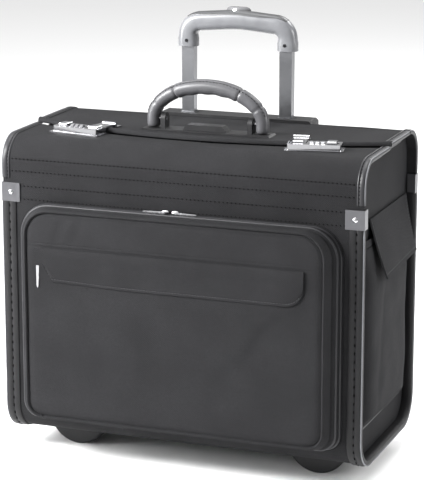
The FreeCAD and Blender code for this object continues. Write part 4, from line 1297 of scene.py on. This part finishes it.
# %% Arch and crown panel
grip_low, grip_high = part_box("trolley_grip")
grip_half = grip_high.x / MM
grip_foot = (grip_low.z - underside) / MM
grip_crown = (grip_high.z - underside) / MM
grip_depth = ((grip_low.y + grip_high.y) / 2 - front_face) / MM
grip_thick = (grip_high.y - grip_low.y) / MM
bar, leg = 25.0, 27.0
leg_mid = grip_half - leg / 2
bar_mid = grip_crown - bar / 2
grip_line = joined(run((leg_mid, grip_foot), (leg_mid, bar_mid - 22), 6.0),
                   bend((leg_mid - 18, bar_mid - 22), 18, 0, 76, 8.0),
                   run((leg_mid - 14, bar_mid - 4.2), (6, bar_mid), 6.0),
                   run((6, bar_mid), (-6, bar_mid), 6.0),
                   run((-6, bar_mid), (14 - leg_mid, bar_mid - 4.2), 6.0),
                   bend((18 - leg_mid, bar_mid - 22), 18, 104, 180, 8.0),
                   run((-leg_mid, bar_mid - 22), (-leg_mid, grip_foot), 6.0))


def grip_point(flat, out, turn, grow=0.0):
    """A place on the grip's skin; turn runs round the section from the back over the outside."""
    c, s = math.cos(turn), math.sin(turn)
    wide = (leg if flat.y < bar_mid - 24 else bar) / 2 + grow
    thick = grip_thick / 2 + grow
    a = math.copysign(abs(s) ** 0.75, s) * wide
    b = math.copysign(abs(c) ** 0.75, c) * thick
    return point(flat.x + out.x * a, grip_depth + b, flat.y + out.y * a)


turns = [math.tau * k / 28 for k in range(28)]
rows = []
for flat, out in grip_line:
    outward = Vector((flat.x, 0)).normalized() if abs(flat.x) > leg_mid - 0.5 else out
    outward = outward if outward.y >= -0.01 else -outward
    rows.append([grip_point(flat, outward, t) for t in turns])
grip = tube("trolley_grip_arch", rows, grip_grey, "trolley_stage_two", crease=45)
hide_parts("trolley_grip")
outer, inner = [], []
crown_line = [(flat, out if out.y > 0 else -out) for flat, out in grip_line if abs(flat.x) < leg_mid - 6]
for flat, out in crown_line:
    span = math.radians(28 + 36 * math.sqrt(max(0.0, 1 - (flat.x / (leg_mid - 5)) ** 2)))
    arc = [math.pi / 2 + span * k / 7 for k in range(-7, 8)]
    outer.append([grip_point(flat, out, t, 0.45 if abs(k) < 7 else -0.2) for k, t in zip(range(-7, 8), arc)])
    inner.append([grip_point(flat, out, t, -0.6) for t in arc])
crown = sheet("trolley_grip_crown_panel", outer, inner, grip_inlay, "trolley_stage_two")
low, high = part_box("release_button")
middle = (low + high) / 2
# (share of the half width, share of the half depth) round the button, pointed at the front
button_section = ((-1, 0.6), (-0.9, 0.9), (0.9, 0.9), (1, 0.6), (0.25, -0.9), (0, -1), (-0.25, -0.9))
rows = []
for share, fat in ((0.0, 1.0), (0.6, 1.0), (0.85, 0.9), (1.0, 0.72)):
    level = low.z + (high.z + 0.002 - low.z) * share
    reach, deep_half = (high.x - low.x) / 2 * fat, (high.y - low.y) / 2 * fat
    rows.append([Vector((middle.x + reach * a, middle.y + deep_half * b, level)) for a, b in button_section])
button = tube("release_button_cap", rows, chrome, "trolley_release", crease=30)
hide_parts("release_button")
print("grip", round(2 * grip_half), "mm wide")

# %% [markdown]
# ## Camera, floor and light
# The case stands on a white floor, as in a catalogue. The sky is bright above and to the left and dim
# on the right, so each face gets its own tone. A soft box at the front left models the lid and the front,
# and a taller, lower one beside it brightens the bindings, the handle and the grip. A weak one on the right
# keeps the end panel from going black, one behind lights the floor there, and a wide one overhead
# washes the floor white. The Standard view transform keeps that white from turning grey.

# %% Stage
scene = bpy.context.scene
floor_mesh = bpy.data.meshes.new("floor")
reach = 14.0
floor_mesh.from_pydata([(-reach, -reach, 0), (reach, -reach, 0), (reach, reach, 0), (-reach, reach, 0)],
                       [], [(0, 1, 2, 3)])
floor = bpy.data.objects.new("floor", floor_mesh)
scene.collection.objects.link(floor)
floor_paint, tree, shader = surface("studio_floor_matt_paint", "#f4f4f4", 0.9)
raise_by(tree, shader, speckle(tree, 40.0, 3.0), 0.2, 0.1)
floor_mesh.materials.append(floor_paint)

scene.view_settings.view_transform = "Standard"
world = bpy.data.worlds.new("studio_sky")
scene.world = world
world.use_nodes = True
tree = world.node_tree
way_out = add(tree, "ShaderNodeTexCoord").outputs["Generated"]
upper_left = (-0.55, -0.25, 0.8)
towards = add(tree, "ShaderNodeVectorMath", {0: way_out, 1: upper_left}, operation="DOT_PRODUCT")
sky_dim, sky_bright = 0.12, 1.05
sky = add(tree, "ShaderNodeMapRange", {"Value": towards.outputs["Value"], "From Min": -0.3, "From Max": 0.9,
                                       "To Min": sky_dim, "To Max": sky_bright})
background = tree.nodes["Background"]
background.inputs[0].default_value = (1, 1, 1, 1)
tree.links.new(sky.outputs[0], background.inputs[1])


def soft_light(name, place, aim, size, power, spread_angle=180):
    """A soft box that looks at a point; a small spread angle, in degrees, keeps its light together."""
    lamp = bpy.data.lights.new(name, "AREA")
    lamp.shape = "RECTANGLE"
    lamp.size, lamp.size_y = size
    lamp.energy = power
    lamp.spread = math.radians(spread_angle)
    holder = bpy.data.objects.new(name, lamp)
    holder.location = place
    holder.rotation_euler = (Vector(aim) - Vector(place)).to_track_quat("-Z", "Y").to_euler()
    scene.collection.objects.link(holder)


soft_light("key", (-1.0, -1.15, 1.2), (-0.24, -0.1, 0.46), (0.5, 0.5), 11, 75)
soft_light("floor_wash", (-0.3, 0.3, 3.2), (-0.1, 0.3, 0), (2.0, 2.0), 95)
soft_light("left_side", (-1.35, -0.8, 0.75), (-0.27, -0.13, 0.32), (0.4, 0.9), 15, 100)
soft_light("right_fill", (1.3, 0.25, 0.75), (0.26, 0.02, 0.25), (0.4, 0.8), 3.5, 80)
soft_light("back", (0.6, 1.9, 1.8), (0, 0.6, 0), (1.4, 0.6), 30)

camera = bpy.data.objects.new("camera", bpy.data.cameras.new("camera"))
camera.location = (0.97038, -2.56538, 0.94495)
camera.rotation_euler = (math.pi / 2 - 0.2376, 0, 0.36)
camera.data.sensor_width = 36
camera.data.lens = 163.99
scene.collection.objects.link(camera)
scene.camera = camera
print("camera at", tuple(round(v, 2) for v in camera.location))
